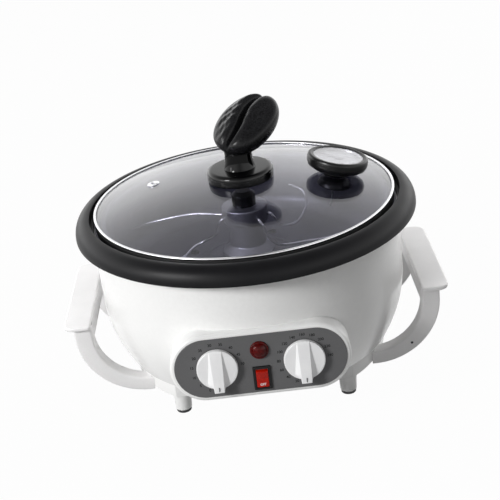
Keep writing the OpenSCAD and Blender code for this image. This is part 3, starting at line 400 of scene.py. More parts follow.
def dome_at(r):
    """Height of the outside of the glass at a distance from the axis: a spherical cap."""
    return RIM_Z + DOME_RISE - BALL_R + np.sqrt(BALL_R ** 2 - np.asarray(r, float) ** 2)


def panel(points, x=0.0, y=0.0):
    """Places points of the control panel's frame: x to the right, y up the panel, z out of it."""
    p = np.asarray(points, float)
    u, v, w = p[..., 0] + x, p[..., 1] + y, p[..., 2]
    c, s = math.cos(PANEL_TILT), math.sin(PANEL_TILT)
    return np.stack([u, AXIS_Y - PANEL_OUT + v * s - w * c, RIM_Z - PANEL_DROP + v * c + w * s], axis=-1)


def gauge(points):
    """Places points of the thermometer's frame, which leans out to the right; its z = 0 is at the glass."""
    p = np.asarray(points, float)
    c, s = math.cos(GAUGE_LEAN), math.sin(GAUGE_LEAN)
    return np.stack([GAUGE_X + p[..., 0] * c + p[..., 2] * s, AXIS_Y + p[..., 1],
                     dome_at(GAUGE_X) - p[..., 0] * s + p[..., 2] * c], axis=-1)


def smoothed(node, angle=30, bevel_mm=0.0):
    """A copy of a CAD node with its doubles merged and, where asked, its flat faces joined and its edges softly
    rounded.
    """
    mesh = NODES[node].data.copy()
    mesh.name = node + "_look"
    bm = bmesh.new()
    bm.from_mesh(mesh)
    bmesh.ops.remove_doubles(bm, verts=bm.verts, dist=2e-6)
    if bevel_mm:
        bmesh.ops.dissolve_limit(bm, angle_limit=math.radians(2), verts=bm.verts, edges=bm.edges)
    bm.to_mesh(mesh)
    bm.free()
    mesh.shade_smooth()
    mesh.set_sharp_from_angle(angle=math.radians(angle))
    o = bpy.data.objects.new(node + "_look", mesh)
    bpy.context.collection.objects.link(o)
    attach(o, BODY_OF[node])
    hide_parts(node)
    if bevel_mm:
        m = o.modifiers.new("edges", "BEVEL")
        m.width, m.segments, m.limit_method, m.angle_limit = bevel_mm * MM, 2, "ANGLE", math.radians(angle)
    return o


# ---------------------------------------------------------------- body, base and legs

BELLY_Z = RIM_Z - 78
BOWL_R, BOWL_DRAW = 140.0, 15.5
BASE_R = 118.5


def bowl_at(z):
    """Radius of the bowl's outside: straight above its belly, and a parabola that draws in below it."""
    return BOWL_R - BOWL_DRAW * (np.maximum(BELLY_Z - np.asarray(z, float), 0) / (BELLY_Z - SEAM_Z)) ** 2


def true_normals(o, normal_at, within=25):
    """Shades a smoothed CAD copy as the surface it stands for: each face corner whose face looks within some degrees
    of normal_at(point) takes that direction, so that facets and cuts leave no trace in the gloss."""
    mesh = o.data
    count = len(mesh.loops)
    corner = np.zeros(count, int)
    mesh.loops.foreach_get("vertex_index", corner)
    co = np.zeros(len(mesh.vertices) * 3)
    mesh.vertices.foreach_get("co", co)
    face_normal = np.zeros(len(mesh.polygons) * 3)
    mesh.polygons.foreach_get("normal", face_normal)
    sizes = np.zeros(len(mesh.polygons), int)
    mesh.polygons.foreach_get("loop_total", sizes)
    face_normal = np.repeat(face_normal.reshape(-1, 3), sizes, axis=0)
    wanted = normal_at(co.reshape(-1, 3)[corner] / MM)
    near = (wanted * face_normal).sum(1) > math.cos(math.radians(within))
    mesh.normals_split_custom_set(np.where(near[:, None], wanted, face_normal).tolist())


def bowl_normal(p):
    """Outward direction of the bowl's outside at points in mm."""
    x, y, z = p[:, 0], p[:, 1] - AXIS_Y, p[:, 2]
    r = np.maximum(np.hypot(x, y), 1e-6)
    slope = 2 * BOWL_DRAW * np.maximum(BELLY_Z - z, 0) / (BELLY_Z - SEAM_Z) ** 2
    n = np.stack([x / r, y / r, -slope], axis=1)
    return n / np.linalg.norm(n, axis=1, keepdims=True)


true_normals(smoothed("outer_shell"), bowl_normal)
smoothed("base_shell", 40, 0.9)

leg_low_z = 3.0
leg_top_z = BASE_Z
LEG_X, LEG_Y = 75, 79.5
LEG_PLACES = [(sx * LEG_X, sy * LEG_Y) for sx in (-1, 1) for sy in (-1, 1)]


def at(x, y, z=0.0):
    """Moves local points to a place given from the bowl's axis."""
    return lambda p: p + [x, AXIS_Y + y, z]


leg_line = rounded([(0, leg_low_z, 0), (7.4, leg_low_z, 0.8), (8.2, leg_top_z, 0), (0, leg_top_z, 0)])
lofted("turned_legs", "legs", [(spun(leg_line[1:-1], 48, at(x, y)), False) for x, y in LEG_PLACES])
foot_line = rounded([(0, 0, 0), (6.7, 0, 0.8), (6.9, leg_low_z, 0.3), (0, leg_low_z, 0)])
lofted("rubber_pads", "rubber_feet", [(spun(foot_line[1:-1], 48, at(x, y)), False) for x, y in LEG_PLACES])


# ---------------------------------------------------------------- rim ring and pan

ring_top_z = RIM_Z - 1.7
ring_low_z = ring_top_z - 15.5
gasket_low_z = SEAT_Z - 4.0


def ring_skin():
    """Outside of the ring: a quarter of an ellipse from its crest down to its widest edge."""
    a = np.linspace(math.pi / 2, 0, 28)
    crest = RING_IN_R + 2
    return np.stack([crest + (RING_OUT_R - crest) * np.cos(a), ring_top_z - 14 + 14 * np.sin(a)], axis=1)


ring_line = np.concatenate([
    rounded([(138.2, gasket_low_z, 0), (138.2, SEAT_Z, 0.3), (RING_IN_R, SEAT_Z, 0.5), (RING_IN_R, ring_top_z, 1.4),
             (RING_IN_R + 2, ring_top_z, 0)]), ring_skin()[1:-1],
    rounded([(RING_OUT_R, ring_low_z + 1.6, 0), (RING_OUT_R, ring_low_z, 0.7), (RING_OUT_R - 2, ring_low_z, 0.5),
             (RING_OUT_R - 3.2, gasket_low_z, 0.4), (145, gasket_low_z, 0)])])
lofted("moulded_rim_ring", "rim_ring", [(spun(ring_line, 256), True)], sharp=40)

PAN_FLOOR_Z = SEAT_Z - 54
BEND_R, BEND_AT = 15, 106  # the bend between floor and wall, and where it starts
SCREW_CIRCLE_R, FIRST_SCREW = 57, 66


def pan_line(out):
    """Inside line of the pan from its raised middle over the bend to its flange, or its outside when let out by the
    sheet's thickness."""
    floor = rounded([(6.2, PAN_FLOOR_Z + 4 - out, 0), (38, PAN_FLOOR_Z + 4 - out, 5), (46, PAN_FLOOR_Z - out, 5),
                     (BEND_AT, PAN_FLOOR_Z - out, 0)], 8)
    a = np.radians(np.linspace(-90, -8, 18))
    bend = np.stack([BEND_AT + (BEND_R + out) * np.cos(a), PAN_FLOOR_Z + BEND_R + (BEND_R + out) * np.sin(a)], axis=1)
    return np.concatenate([floor, bend[1:]])


pan_rows = np.concatenate([
    pan_line(0),
    rounded([(125.4, SEAT_Z - 9, 0), (126, SEAT_Z, 2.5), (136, SEAT_Z, 0), (137.5, SEAT_Z, 0.6),
             (137.5, SEAT_Z - 1.6, 0.6), (136, SEAT_Z - 1.6, 0), (128.5, SEAT_Z - 1.6, 1.5), (127.6, SEAT_Z - 10, 0)]),
    pan_line(2)[::-1]])
lofted("spun_pan", "roasting_pan", [(spun(pan_rows, 224), True)], sharp=50)


def pan_screws():
    """Domed screw heads with a cross recess cut as a dished star, on the pan's floor."""
    parts, shank_z = [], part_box("pan_screws")[0].z / MM - PAN_FLOOR_Z
    for i in range(4):
        a = math.radians(FIRST_SCREW + 90 * i)
        turn = np.linspace(0, 2 * np.pi, 48, endpoint=False)
        star = 0.55 + 0.45 * np.abs(np.cos(2 * turn)) ** 6
        rows = [(1.9, shank_z, 1), (1.9, -0.3, 1), (4.0, 0.0, 1), (4.0, 0.7, 1), (3.7, 1.35, 1), (2.9, 1.8, 1),
                (2.1, 2.0, star), (1.6, 1.1, star), (0.4, 0.9, 1)]
        ring = [np.stack([r * k * np.cos(turn), r * k * np.sin(turn), np.full(48, z)], axis=1) for r, z, k in rows]
        place = at(SCREW_CIRCLE_R * math.cos(a), SCREW_CIRCLE_R * math.sin(a), PAN_FLOOR_Z)
        parts.append((place(np.array(ring)), False))
    lofted("cross_head_pan_screws", "pan_screws", parts)


pan_screws()


# ---------------------------------------------------------------- handles

GRIP_IN_X, ARM_T, ARM_W, ARM_Y = 148.0, 16.0, 14.0, 57.0
GRIP_TOP_Z, GRIP_T, GRIP_W, GRIP_L = 88.5, 4.0, 24.5, 136.0
ARM_LOW_Z, ARM_END_H = BASE_Z - 3.5, 12.6
GRIP_UNDER_Z = GRIP_TOP_Z - GRIP_T
BOW_Z = GRIP_UNDER_Z - 9.5
BOW_R = BOW_Z - ARM_LOW_Z
INNER_BOW_R = BOW_R - 14


def arm_outline(d, y):
    """Outline of a handle arm seen from the front, drawn in by d: out along the floor, up a quarter circle to the
    grip, and back down a smaller quarter circle. Its inner end follows the base's round wall at depth y."""
    x_end = math.sqrt((BASE_R + 0.2) ** 2 - y ** 2)
    a = np.radians(np.linspace(-90, 0, 26))
    out_x = GRIP_IN_X + ARM_T - BOW_R
    in_x = GRIP_IN_X - INNER_BOW_R
    outer = np.stack([out_x + (BOW_R - d) * np.cos(a), BOW_Z + (BOW_R - d) * np.sin(a)], axis=1)
    inner = np.stack([in_x + (INNER_BOW_R + d) * np.cos(a), ARM_LOW_Z + ARM_END_H + INNER_BOW_R
                      + (INNER_BOW_R + d) * np.sin(a)], axis=1)[::-1]
    return np.concatenate([[[x_end, ARM_LOW_Z + d]], outer, [[GRIP_IN_X + ARM_T - d, GRIP_UNDER_Z]],
                           [[GRIP_IN_X + d, GRIP_UNDER_Z]], inner, [[x_end, ARM_LOW_Z + ARM_END_H - d]]])


def arm_rows(side, y):
    """A handle arm: its outline carried fore and aft, with its edges rounded by 1.8 mm."""
    a = np.linspace(0, np.pi / 2, 6)
    edge = [(1.8 * (1 - math.sin(t)), 1.8 * (1 - math.cos(t))) for t in a]
    levels = [(d, -ARM_W / 2 + w) for d, w in edge] + [(d, ARM_W / 2 - w) for d, w in edge[::-1]]
    rows = []
    for d, w in levels:
        line = arm_outline(d, abs(y + w))
        rows.append(np.stack([side * line[:, 0], np.full(len(line), AXIS_Y + y + w), line[:, 1]], axis=1))
    return np.array(rows)


def rail_rows(side):
    """The rail under the grip, a bar with rounded lower edges, a hair thinner than the arms that it joins."""
    near, far = GRIP_IN_X + 0.1, GRIP_IN_X + ARM_T - 0.1
    line = rounded([(near, GRIP_UNDER_Z, 0), (near, GRIP_UNDER_Z - 15.5, 2.2), (far, GRIP_UNDER_Z - 15.5, 2.2),
                    (far, GRIP_UNDER_Z, 0)])
    return np.array([np.stack([side * line[:, 0], np.full(len(line), AXIS_Y + y), line[:, 1]], axis=1)
                     for y in (-ARM_Y, 0.0, ARM_Y)])


def grip_rows(side):
    """The grip plate, with round outer corners and edges rounded over 1.4 mm below and 1.6 mm above."""
    line = rounded([(GRIP_IN_X, -GRIP_L / 2, 3), (GRIP_IN_X + GRIP_W, -GRIP_L / 2, 12),
                    (GRIP_IN_X + GRIP_W, GRIP_L / 2, 12), (GRIP_IN_X, GRIP_L / 2, 3)], 8, closed=True)
    rows = slab(line, GRIP_UNDER_Z, GRIP_TOP_Z, 1.4, 1.6, 5)
    return rows * [side, 1, 1] + [0, AXIS_Y, 0]


for side, word in ((-1, "left"), (1, "right")):
    lofted(word + "_handle_arms", word + "_handle_frame",
           [(arm_rows(side, -ARM_Y), False), (arm_rows(side, ARM_Y), False), (rail_rows(side), False)])
    lofted(word + "_grip_plate", word + "_grip", [(grip_rows(side), False)])


def arm_plugs():
    """Small dark covers in the front and rear faces of the right arms, on the middle line of the bow."""
    line = rounded([(0, 0, 0), (1.2, 0, 0.1), (1.2, 0.3, 0.2), (0, 0.4, 0)])[1:-1]
    turn = math.radians(-51.7)
    x = GRIP_IN_X + ARM_T - BOW_R + (BOW_R - 7) * math.cos(turn)
    z = BOW_Z + (BOW_R - 7) * math.sin(turn)
    rows = spun(line, 32, local)
    parts = []
    for way in (-1, 1):
        facing = np.stack([rows[..., 0], rows[..., 2] * way, rows[..., 1]], axis=-1)
        parts.append((facing + [x, AXIS_Y + way * (ARM_Y + ARM_W / 2), z], False))
    lofted("arm_screw_covers", "handle_screws", parts, replaces=False, slot="pan_screw_steel")


arm_plugs()


# ---------------------------------------------------------------- control panel

PANEL_W, PANEL_H, LABEL_W, LABEL_H, LABEL_T = 150.5, 59.0, 143.0, 51.5, 0.8


def back_to_bowl(outline, gap=0.3):
    """For each point of an outline on the panel, how far back along the panel's axis the bowl is met: halves the
    range of depths until the point's distance from the bowl's axis is the bowl's radius at its height."""
    near, far = np.zeros(len(outline)), np.full(len(outline), -70.0)
    for _ in range(30):
        middle = (near + far) / 2
        p = panel(np.c_[outline, middle])
        outside = np.hypot(p[:, 0], p[:, 1] - AXIS_Y) > bowl_at(p[:, 2]) + gap
        near, far = np.where(outside, middle, near), np.where(outside, far, middle)
    return (near + far) / 2


def housing_rows():
    """The control housing: a hood with a rounded front edge that runs back to the bowl, 3 mm thick."""
    outline = stadium(PANEL_W, PANEL_H, 48)
    wall, edge = 3.0, 3.2
    inner = inset(outline, wall)
    a = np.linspace(0, np.pi / 2, 9)
    rows = [np.c_[inset(outline, edge), np.zeros(len(outline))]]
    rows += [np.c_[inset(outline, edge * (1 - math.sin(t))), np.full(len(outline), -edge * (1 - math.cos(t)))]
             for t in a]
    deep, inner_deep = back_to_bowl(outline), back_to_bowl(inner)
    rows += [np.c_[outline, -edge + (deep + edge) * t] for t in (0.25, 0.5, 0.75, 1.0)]
    rows += [np.c_[inner, inner_deep], np.c_[inner, np.full(len(outline), -6.0)]]
    return panel(np.array(rows))


lofted("control_hood", "control_housing", [(housing_rows(), False)], sharp=50)
lofted("printed_faceplate", "control_label",
       [(panel(slab(stadium(LABEL_W, LABEL_H, 48), 0.0, LABEL_T, 0.05, 0.35, 3)), False)])


def knob_disc():
    """The knob's skirt: a low disc with a softly rounded top edge."""
    line = rounded([(3.1, 1.6, 0), (17.2, 1.6, 0.4), (17.0, 5.5, 1.3), (15.2, 5.55, 0), (0.2, 5.7, 0)], 6)
    return spun(line, 96, local)


def knob_bar():
    """The knob's wedge: across it, a flat top between flanks that slope down to the disc at about 45 degrees. Along
    it, the top rises from the disc's upper edge to the pointing end and narrows, so the flanks widen towards that
    end and draw in again where it hangs past the disc. Rows run along the bar."""
    v = np.r_[16.4, 16.1, np.linspace(14.5, -15.5, 16), -17.2, -18.3, -18.5]
    top = np.interp(v, [-18.5, 16.4], [4.2, 4.9])
    high = np.interp(v, [-18.5, -18.3, -17.8, 15.8, 16.4], [9.9, 10.3, 10.5, 6.0, 5.6])
    low = np.interp(v, [-18.5, -16.6, -15, 16.4], [3.8, 3.8, 5.3, 5.4])
    reach = np.interp(v, [-18.5, -17, -15.5, -13, -11], [0.3, 0.5, 1.0, 4.0, 7.0])
    flank = np.minimum(1.1 * (high - low) + 0.2, reach)
    rows = []
    for y, t, f, h, z in zip(v, top, flank, high, low):
        line = rounded([(t + f, z, 0), (t, h, 0.6), (-t, h, 0.6), (-t - f, z, 0)], 5)
        rows.append(np.c_[line[:, 0], np.full(len(line), y), line[:, 1]])
    return np.array(rows)


def flat_bars(marks, low, high):
    """Thin flat strokes; here a grey one paints the shade of a knob's notch. Each mark is (x, y, length, width, turn)
    in the panel's frame.
    """
    parts = []
    for x, y, length, width, turn in marks:
        line = box_outline(length, width, width * 0.3, 2)
        parts.append((layers(turned(line, turn) + [x, y], (low, high)), False))
    return parts


for word, node, x in (("timer", "timer_knob", -KNOB_X), ("temperature", "temperature_knob", KNOB_X)):
    lofted(word + "_dial_knob", node, [(panel(knob_disc(), x), False), (panel(knob_bar(), x), False)], sharp=38)
    # Painted shade: a grey stroke on the knob's tip stands in for the shade inside its pointer notch, which is not cut
    pointer = [(panel(r, x), c) for r, c in flat_bars([(0, -15.4, 3.6, 0.8, math.pi / 2)], 10.0, 10.6)]
    lofted(word + "_pointer_notch_painted_shade", node, pointer, replaces=False, slot="label_grey")


def flat_word(word, size):
    """Points and faces of a word in Blender's own type, centred, lying flat and a tenth of a millimetre thick."""
    curve = bpy.data.curves.new("word", "FONT")
    curve.body, curve.size, curve.align_x, curve.align_y = word, size, "CENTER", "CENTER"
    curve.extrude, curve.offset = 0.05, 0.06
    text = bpy.data.objects.new("word", curve)
    mesh = bpy.data.meshes.new_from_object(text)
    points, faces = np.array([v.co for v in mesh.vertices]), [list(p.vertices) for p in mesh.polygons]
    bpy.data.objects.remove(text)
    bpy.data.curves.remove(curve)
    bpy.data.meshes.remove(mesh)
    return points, faces


def printed_numbers():
    """Numbers round the two knobs, each standing upright on the faceplate."""
    jobs = [(-KNOB_X, [str(5 * i) for i in range(11)], np.linspace(-157, 86, 11), 21.0),
            (KNOB_X, [str(20 + 20 * i) for i in range(12)], np.linspace(-158, 89, 12), 21.2)]
    points, faces, start = [], [], 0
    for x, words, turns, radius in jobs:
        for word, turn in zip(words, np.radians(turns)):
            flat, sides = flat_word(word, 3.3)
            points.append(panel(flat + [x + radius * math.sin(turn), radius * math.cos(turn), LABEL_T + 0.02]))
            faces += [[i + start for i in f] for f in sides]
            start += len(flat)
    piece("printed_dial_numbers", "control_label", np.concatenate(points), faces, replaces=False, slot="switch_black")


printed_numbers()

LAMP_Y, LAMP_R, SWITCH_Y = 12.0, 6.3, -13.0
collar = rounded([(0.1, -6, 0), (LAMP_R - 0.1, -6, 0.2), (LAMP_R - 0.1, LABEL_T, 0), (7.9, LABEL_T, 0.3),
                  (7.5, 2.5, 0.8), (5.9, 2.4, 0)])
lofted("lamp_collar", "lamp_body", [(panel(spun(collar, 64, local), 0, LAMP_Y), False)])
a = np.linspace(0, math.pi / 2, 14)
dome = np.stack([np.maximum(6.1 * np.cos(a), 0.05), 2.2 + 3.2 * np.sin(a)], axis=1)
dome = np.concatenate([[[0.1, 2.2]], dome])
lofted("lamp_dome", "lamp_lens", [(panel(spun(dome, 64, local), 0, LAMP_Y), False)], sharp=60)


def switch_rows():
    """Switch frame: a boxed body behind the panel, a flange in front of it and a well for the rocker."""
    body = box_outline(12.6, 18.6, 0.8)
    flange = box_outline(15, 21, 1.0)
    well = box_outline(10.9, 17.0, 0.8)
    rows = [np.c_[body, np.full(len(body), z)] for z in (-17.0, LABEL_T)]
    rows += [np.c_[inset(flange, d), np.full(len(body), z)]
             for d, z in ((0, LABEL_T), (0, 1.6), (0.25, 2.0), (0.6, 2.2))]
    rows += [np.c_[inset(well, d), np.full(len(body), z)] for d, z in ((-0.3, 2.2), (0, 1.9), (0, -6.2))]
    return np.array(rows)


lofted("switch_bezel", "switch_frame", [(panel(switch_rows(), 0, SWITCH_Y), False)])
ROCKER_TILT = math.radians(9)


def rocker_place(p):
    """Places the rocker's own points, tilted about its pivot: x across, y up, z out."""
    c, s = math.cos(ROCKER_TILT), math.sin(ROCKER_TILT)
    return panel(np.stack([p[..., 0], p[..., 1] * c - p[..., 2] * s, p[..., 1] * s + p[..., 2] * c], axis=-1),
                 0, SWITCH_Y) + (panel([0, 0, LABEL_T - 1.6]) - panel([0, 0, 0]))


def rocker_rows():
    """The rocker: a shallow vee seen from the side, carried across with rounded edges."""
    line = rounded([(-7.7, -3.4, 0.4), (7.7, -3.4, 0.4), (7.7, 4.4, 0.7), (0, 3.2, 6), (-7.7, 4.4, 0.7)], 6,
                   closed=True)
    rows = slab(line, -5.0, 5.0, 0.5, 0.5, 4)
    return rocker_place(np.stack([rows[..., 2], rows[..., 0], rows[..., 1]], axis=-1))


lofted("lit_rocker", "switch_rocker", [(rocker_rows(), False)])


def rocker_word():
    """The word OFF printed across the rocker's lower half, which rises outwards from the middle."""
    points, faces = flat_word("OFF", 2.7)
    points = points + [0, -5.0, 0]
    points[:, 2] += np.interp(points[:, 1], [-7.7, 0], [4.4, 3.2]) + 0.05
    piece("printed_switch_word", "switch_rocker", rocker_place(points), faces, replaces=False, slot="knob_plastic")


rocker_word()


# ---------------------------------------------------------------- stirrer

HUB_Z = PAN_FLOOR_Z + 6.8
HUB_TOP_Z = RIM_Z - 12
WIRE_Z = HUB_TOP_Z - 9
hub_line = rounded([(0.2, HUB_Z, 0), (24, HUB_Z, 0.8), (24, HUB_Z + 3, 1.0), (19, HUB_Z + 7, 2), (16.5, HUB_Z + 9, 2),
                    (16, HUB_TOP_Z - 16, 2), (20.4, HUB_TOP_Z - 15, 1), (21, HUB_TOP_Z - 12, 1),
                    (21, HUB_TOP_Z, 1.6), (12, HUB_TOP_Z, 0), (0.2, HUB_TOP_Z, 0)], 6)
lofted("turned_stirrer_hub", "stirrer_hub", [(spun(hub_line, 128), False)])


def cap_rows():
    """Twelve-sided phenolic nut that turns into a rounded top: its outline goes from a soft twelve-sided shape to a
    circle as it rises."""
    turn = np.linspace(0, 2 * np.pi, 96, endpoint=False)
    flat = np.cos(np.pi / 12) / np.cos((turn + np.pi / 12) % (np.pi / 6) - np.pi / 12)
    line = rounded([(11, HUB_TOP_Z, 0), (11, HUB_TOP_Z + 10, 1.2), (6.5, HUB_TOP_Z + 13, 2),
                    (0.3, HUB_TOP_Z + 13, 0)], 6)
    facet = np.interp(line[:, 1], [HUB_TOP_Z + 9, HUB_TOP_Z + 12.5], [1, 0])[:, None]
    r = line[:, :1] * (1 - facet + facet * flat[None])
    return np.stack([r * np.cos(turn), r * np.sin(turn) + AXIS_Y, np.repeat(line[:, 1:], 96, 1)], axis=-1)


lofted("stirrer_nut", "stirrer_cap", [(cap_rows(), False)], sharp=20)
WIRE_ANGLES = (172, 203, 300, 343)
# Points of each wire: radius, angle from the wire's root and drop below it
WIRE_ROUTES = (
    [(48, -9, 1), (70, -8, 4), (92, -8, 9), (113, -9, 16)],
    [(27, -8, 6), (29, -28, 18), (41, -44, 28), (54, -40, 34), (62, -28, 38.5), (80, -16, 39), (98, -4, 39)],
    [(27, 4, 6), (27, 14, 18), (29, 34, 28), (36, 52, 33), (52, 64, 36), (72, 68, 38), (94, 72, 38)],
    [(28, 3, 6), (33, 11, 14), (46, 32, 20), (64, 52, 24), (86, 64, 25), (102, 71, 24), (110, 76, 20), (108, 82, 15)])


def wire_rows(angle, route, r=1.25, sides=16, steps=9):
    """A bent wire: a circle carried along a Catmull-Rom curve through the route's points, its frame turned as little
    as possible from ring to ring, and its two ends drawn in to a point."""
    p = np.array([(15, 0, 0), (21, 0, 0), (23.5, 0, 0), *route], float)
    turn = np.radians(angle + p[:, 1])
    p = np.stack([p[:, 0] * np.cos(turn), p[:, 0] * np.sin(turn) + AXIS_Y, WIRE_Z - p[:, 2]], axis=1)
    q = np.concatenate([p[:1], p, p[-1:]])
    t = np.linspace(0, 1, steps, endpoint=False)[None, :, None]
    a, b, c, d = (q[i:len(q) - 3 + i, None] for i in range(4))
    path = 0.5 * (2 * b + (c - a) * t + (2 * a - 5 * b + 4 * c - d) * t ** 2 + (3 * b - a - 3 * c + d) * t ** 3)
    path = np.concatenate([path.reshape(-1, 3), p[-1:]])
    along = np.gradient(path, axis=0)
    along /= np.linalg.norm(along, axis=1, keepdims=True)
    side = np.array([0.0, 0.0, 1.0])
    sides_at = []
    for tangent in along:
        side = side - tangent * (side @ tangent)
        side /= np.linalg.norm(side)
        sides_at.append(side)
    one = np.array(sides_at)
    two = np.cross(along, one)
    thick = np.full(len(path), r)
    path = np.concatenate([path[:1], path, path[-1:] + along[-1:] * r * 0.6, path[-1:] + along[-1:] * r])
    one, two = (np.concatenate([v[:1], v, v[-1:], v[-1:]]) for v in (one, two))
    thick = np.concatenate([[0.1], thick, [r * 0.8, 0.1]])[:, None, None]
    k = np.linspace(0, 2 * np.pi, sides, endpoint=False)[None, :, None]
    return path[:, None] + thick * (np.cos(k) * one[:, None] + np.sin(k) * two[:, None])


lofted("bent_stirrer_wires", "stirrer_wires",
       [(wire_rows(a, route), False) for a, route in zip(WIRE_ANGLES, WIRE_ROUTES)], sharp=60)


# ---------------------------------------------------------------- lid

r_out = np.linspace(0.3, GLASS_R, 56)
glass_line = np.concatenate([
    np.stack([r_out, dome_at(r_out)], axis=1),
    [[GLASS_R + 0.02, dome_at(GLASS_R) - 1.0], [GLASS_R + 0.02, dome_at(GLASS_R) - 3.0]],
    np.stack([r_out, dome_at(r_out) - GLASS_T], axis=1)[::-1]])
lofted("domed_lid_glass", "glass_dome", [(spun(glass_line, 224), False)], sharp=40)
band_line = rounded([(GLASS_R + 0.1, RIM_Z - 2, 0.1), (LID_R, RIM_Z - 2, 0.2), (LID_R, RIM_Z, 0.7),
                     (LID_R - 2.3, RIM_Z, 0.4), (LID_R - 2.3, RIM_Z - 0.8, 0.1), (GLASS_R + 0.1, RIM_Z - 0.8, 0.1)],
                    4, closed=True)
lofted("rolled_lid_band", "lid_band", [(spun(band_line, 256), True)])
gasket_top = float(dome_at(GLASS_R)) - GLASS_T - 0.15
seal_line = rounded([(LID_R - 5.5, SEAT_Z, 0.8), (LID_R - 0.3, SEAT_Z, 0.8), (LID_R - 0.3, RIM_Z - 2, 0.2),
                     (GLASS_R + 0.1, RIM_Z - 2, 0.1), (GLASS_R + 0.1, gasket_top, 0.1), (LID_R - 5.5, gasket_top, 0.8)],
                    4, closed=True)
lofted("lid_seal", "lid_gasket", [(spun(seal_line, 224), True)])

VENT_X, VENT_Y, VENT_R = -81.6, 25.0, 4.0


def vent_place(p):
    """Places points of the vent's frame, square to the glass where the vent stands."""
    reach = math.hypot(VENT_X, VENT_Y)
    lean = math.asin(reach / BALL_R)
    out = np.array([VENT_X, VENT_Y, 0]) / reach
    z = out * math.sin(lean) + np.array([0, 0, math.cos(lean)])
    x = np.cross([0, 0, 1], out)
    y = np.cross(z, x)
    foot = np.array([VENT_X, AXIS_Y + VENT_Y, float(dome_at(reach))])
    return foot + p[..., :1] * x + p[..., 1:2] * y + p[..., 2:] * z


vent_line = rounded([(2.9, -4.8, 0.3), (5.6, -4.9, 0.4), (5.7, -4.2, 0.3), (VENT_R, -4.1, 0.2), (VENT_R, 0.1, 0.2),
                     (5.8, 0.2, 0.2), (5.6, 1.1, 0.8), (2.9, 1.5, 0.7)], 4, closed=True)
lofted("vent_eyelet", "vent_grommet", [(vent_place(spun(vent_line, 64, local)), True)])

KNOB_BASE_R, KNOB_BASE_H, STEM_R, STEM_H = 30.0, 10.5, 12.3, 18.0
DISC_Z = float(dome_at(KNOB_BASE_R)) + 0.3
STEM_Z = DISC_Z + KNOB_BASE_H
STEM_TOP_Z = STEM_Z + STEM_H
disc_line = rounded([(0.3, RIM_Z + DOME_RISE + 0.1, 0), (7, RIM_Z + DOME_RISE + 0.1, 0.2), (7, DISC_Z + 3, 0.4),
                     (26, DISC_Z + 3, 0.4), (26, DISC_Z, 0.4), (30, DISC_Z, 3.0), (30, STEM_Z, 4.6),
                     (STEM_R + 4, STEM_Z + 0.02, 0.5), (0.3, STEM_Z, 0)], 9)
lofted("knob_disc", "knob_base", [(spun(disc_line, 128), False)], sharp=45)


def stem_line():
    """The knob's stem: a straight post whose foot flares out by the cube of the distance left, up to its spigot."""
    t = np.linspace(0, 1, 22)
    body = np.stack([STEM_R + 2.6 * (1 - t) ** 3, STEM_Z + STEM_H * t], axis=1)
    return np.concatenate([[[0.3, STEM_Z]], body, [[STEM_R - 1, STEM_TOP_Z + 0.02], [STEM_R - 1, STEM_TOP_Z + 8],
                                                   [0.3, STEM_TOP_Z + 8]]])


lofted("gloss_knob_stem", "knob_stem", [(spun(stem_line(), 96), False)], sharp=45)


BEAN_HALF, BEAN_HALF_WIDE = 33.25, 27.0


def bean_rows(rings=110, sides=160):
    """The bean: along its length a sine that is a little fuller than a circle, across it a flatter grooved face and
    a rounder back. The groove winds in an S between two swollen lips and notches the upper end, and fine creases
    run beside it on the face. u goes round a ring and t from end to end."""
    t = np.linspace(0, np.pi, rings + 1)[1:-1, None]
    u = np.linspace(0, 2 * np.pi, sides, endpoint=False)[None]
    s = np.sin(t) ** 0.85
    y = BEAN_HALF_WIDE * s * np.cos(u)
    up = np.sin(u)
    x = -BEAN_HALF * np.cos(t) * np.ones_like(u)
    z = s * np.where(up > 0, 10.87 * np.abs(up) ** 0.7, 19.33 * up)
    bend = 3.2 * np.sin(x / BEAN_HALF * np.pi * 0.95)
    off = y - bend
    face = np.clip(up, 0, 1) ** 0.5
    groove = 7.6 * s ** 0.6 * np.exp(-(off / 2.3) ** 2) * face
    lip = 2.0 * s * np.exp(-((np.abs(off) - 8.5) / 5.0) ** 2) * face
    crease = (0.4 * np.sin(0.62 * off + 0.42 * x + 1.6 * np.sin(0.15 * x)) + 0.12 * np.sin(1.3 * off - 0.4 * x)) * s
    crease *= np.where(off > 0, 1.0, 0.35)
    crease *= face * np.clip((np.abs(off) - 2.5) / 4, 0, 1) * np.clip((24 * s - np.abs(y)) / 6, 0, 1)
    z = z - groove + lip - 0.3 * face * s + crease
    notch = 3.4 * np.exp(-(off / 3.0) ** 2) * np.clip((x / BEAN_HALF - 0.72) / 0.28, 0, 1) * np.clip(up + 0.6, 0, 1)
    x = x - notch
    return np.stack([x, y, z], axis=-1)


def bean_place(p):
    """Turns the bean by 5.1, -26.9 and 45.9 degrees about x, y and z, and moves it onto the stem."""
    a, b, c = np.radians([5.1, -26.9, 45.9])
    rx = np.array([[1, 0, 0], [0, np.cos(a), -np.sin(a)], [0, np.sin(a), np.cos(a)]])
    ry = np.array([[np.cos(b), 0, np.sin(b)], [0, 1, 0], [-np.sin(b), 0, np.cos(b)]])
    rz = np.array([[np.cos(c), -np.sin(c), 0], [np.sin(c), np.cos(c), 0], [0, 0, 1]])
    return p @ (rz @ ry @ rx).T + [10.3, AXIS_Y - 6, STEM_TOP_Z + 23.55]


bean = bean_rows()
tips = np.concatenate([bean.reshape(-1, 3), [[-BEAN_HALF, 0, 0], [30.9, 0, 0]]])
count, around = bean.shape[:2]
k = np.arange(around)
walls = loft(bean)[:-2]
last = (count - 1) * around
cap_one = np.stack([np.full(around, count * around), k, (k + 1) % around], axis=1).tolist()
cap_two = np.stack([np.full(around, count * around + 1), last + (k + 1) % around, last + k], axis=1).tolist()
piece("carved_bean", "bean_knob", bean_place(tips), walls + cap_one + cap_two, sharp=70)


# ---------------------------------------------------------------- thermometer

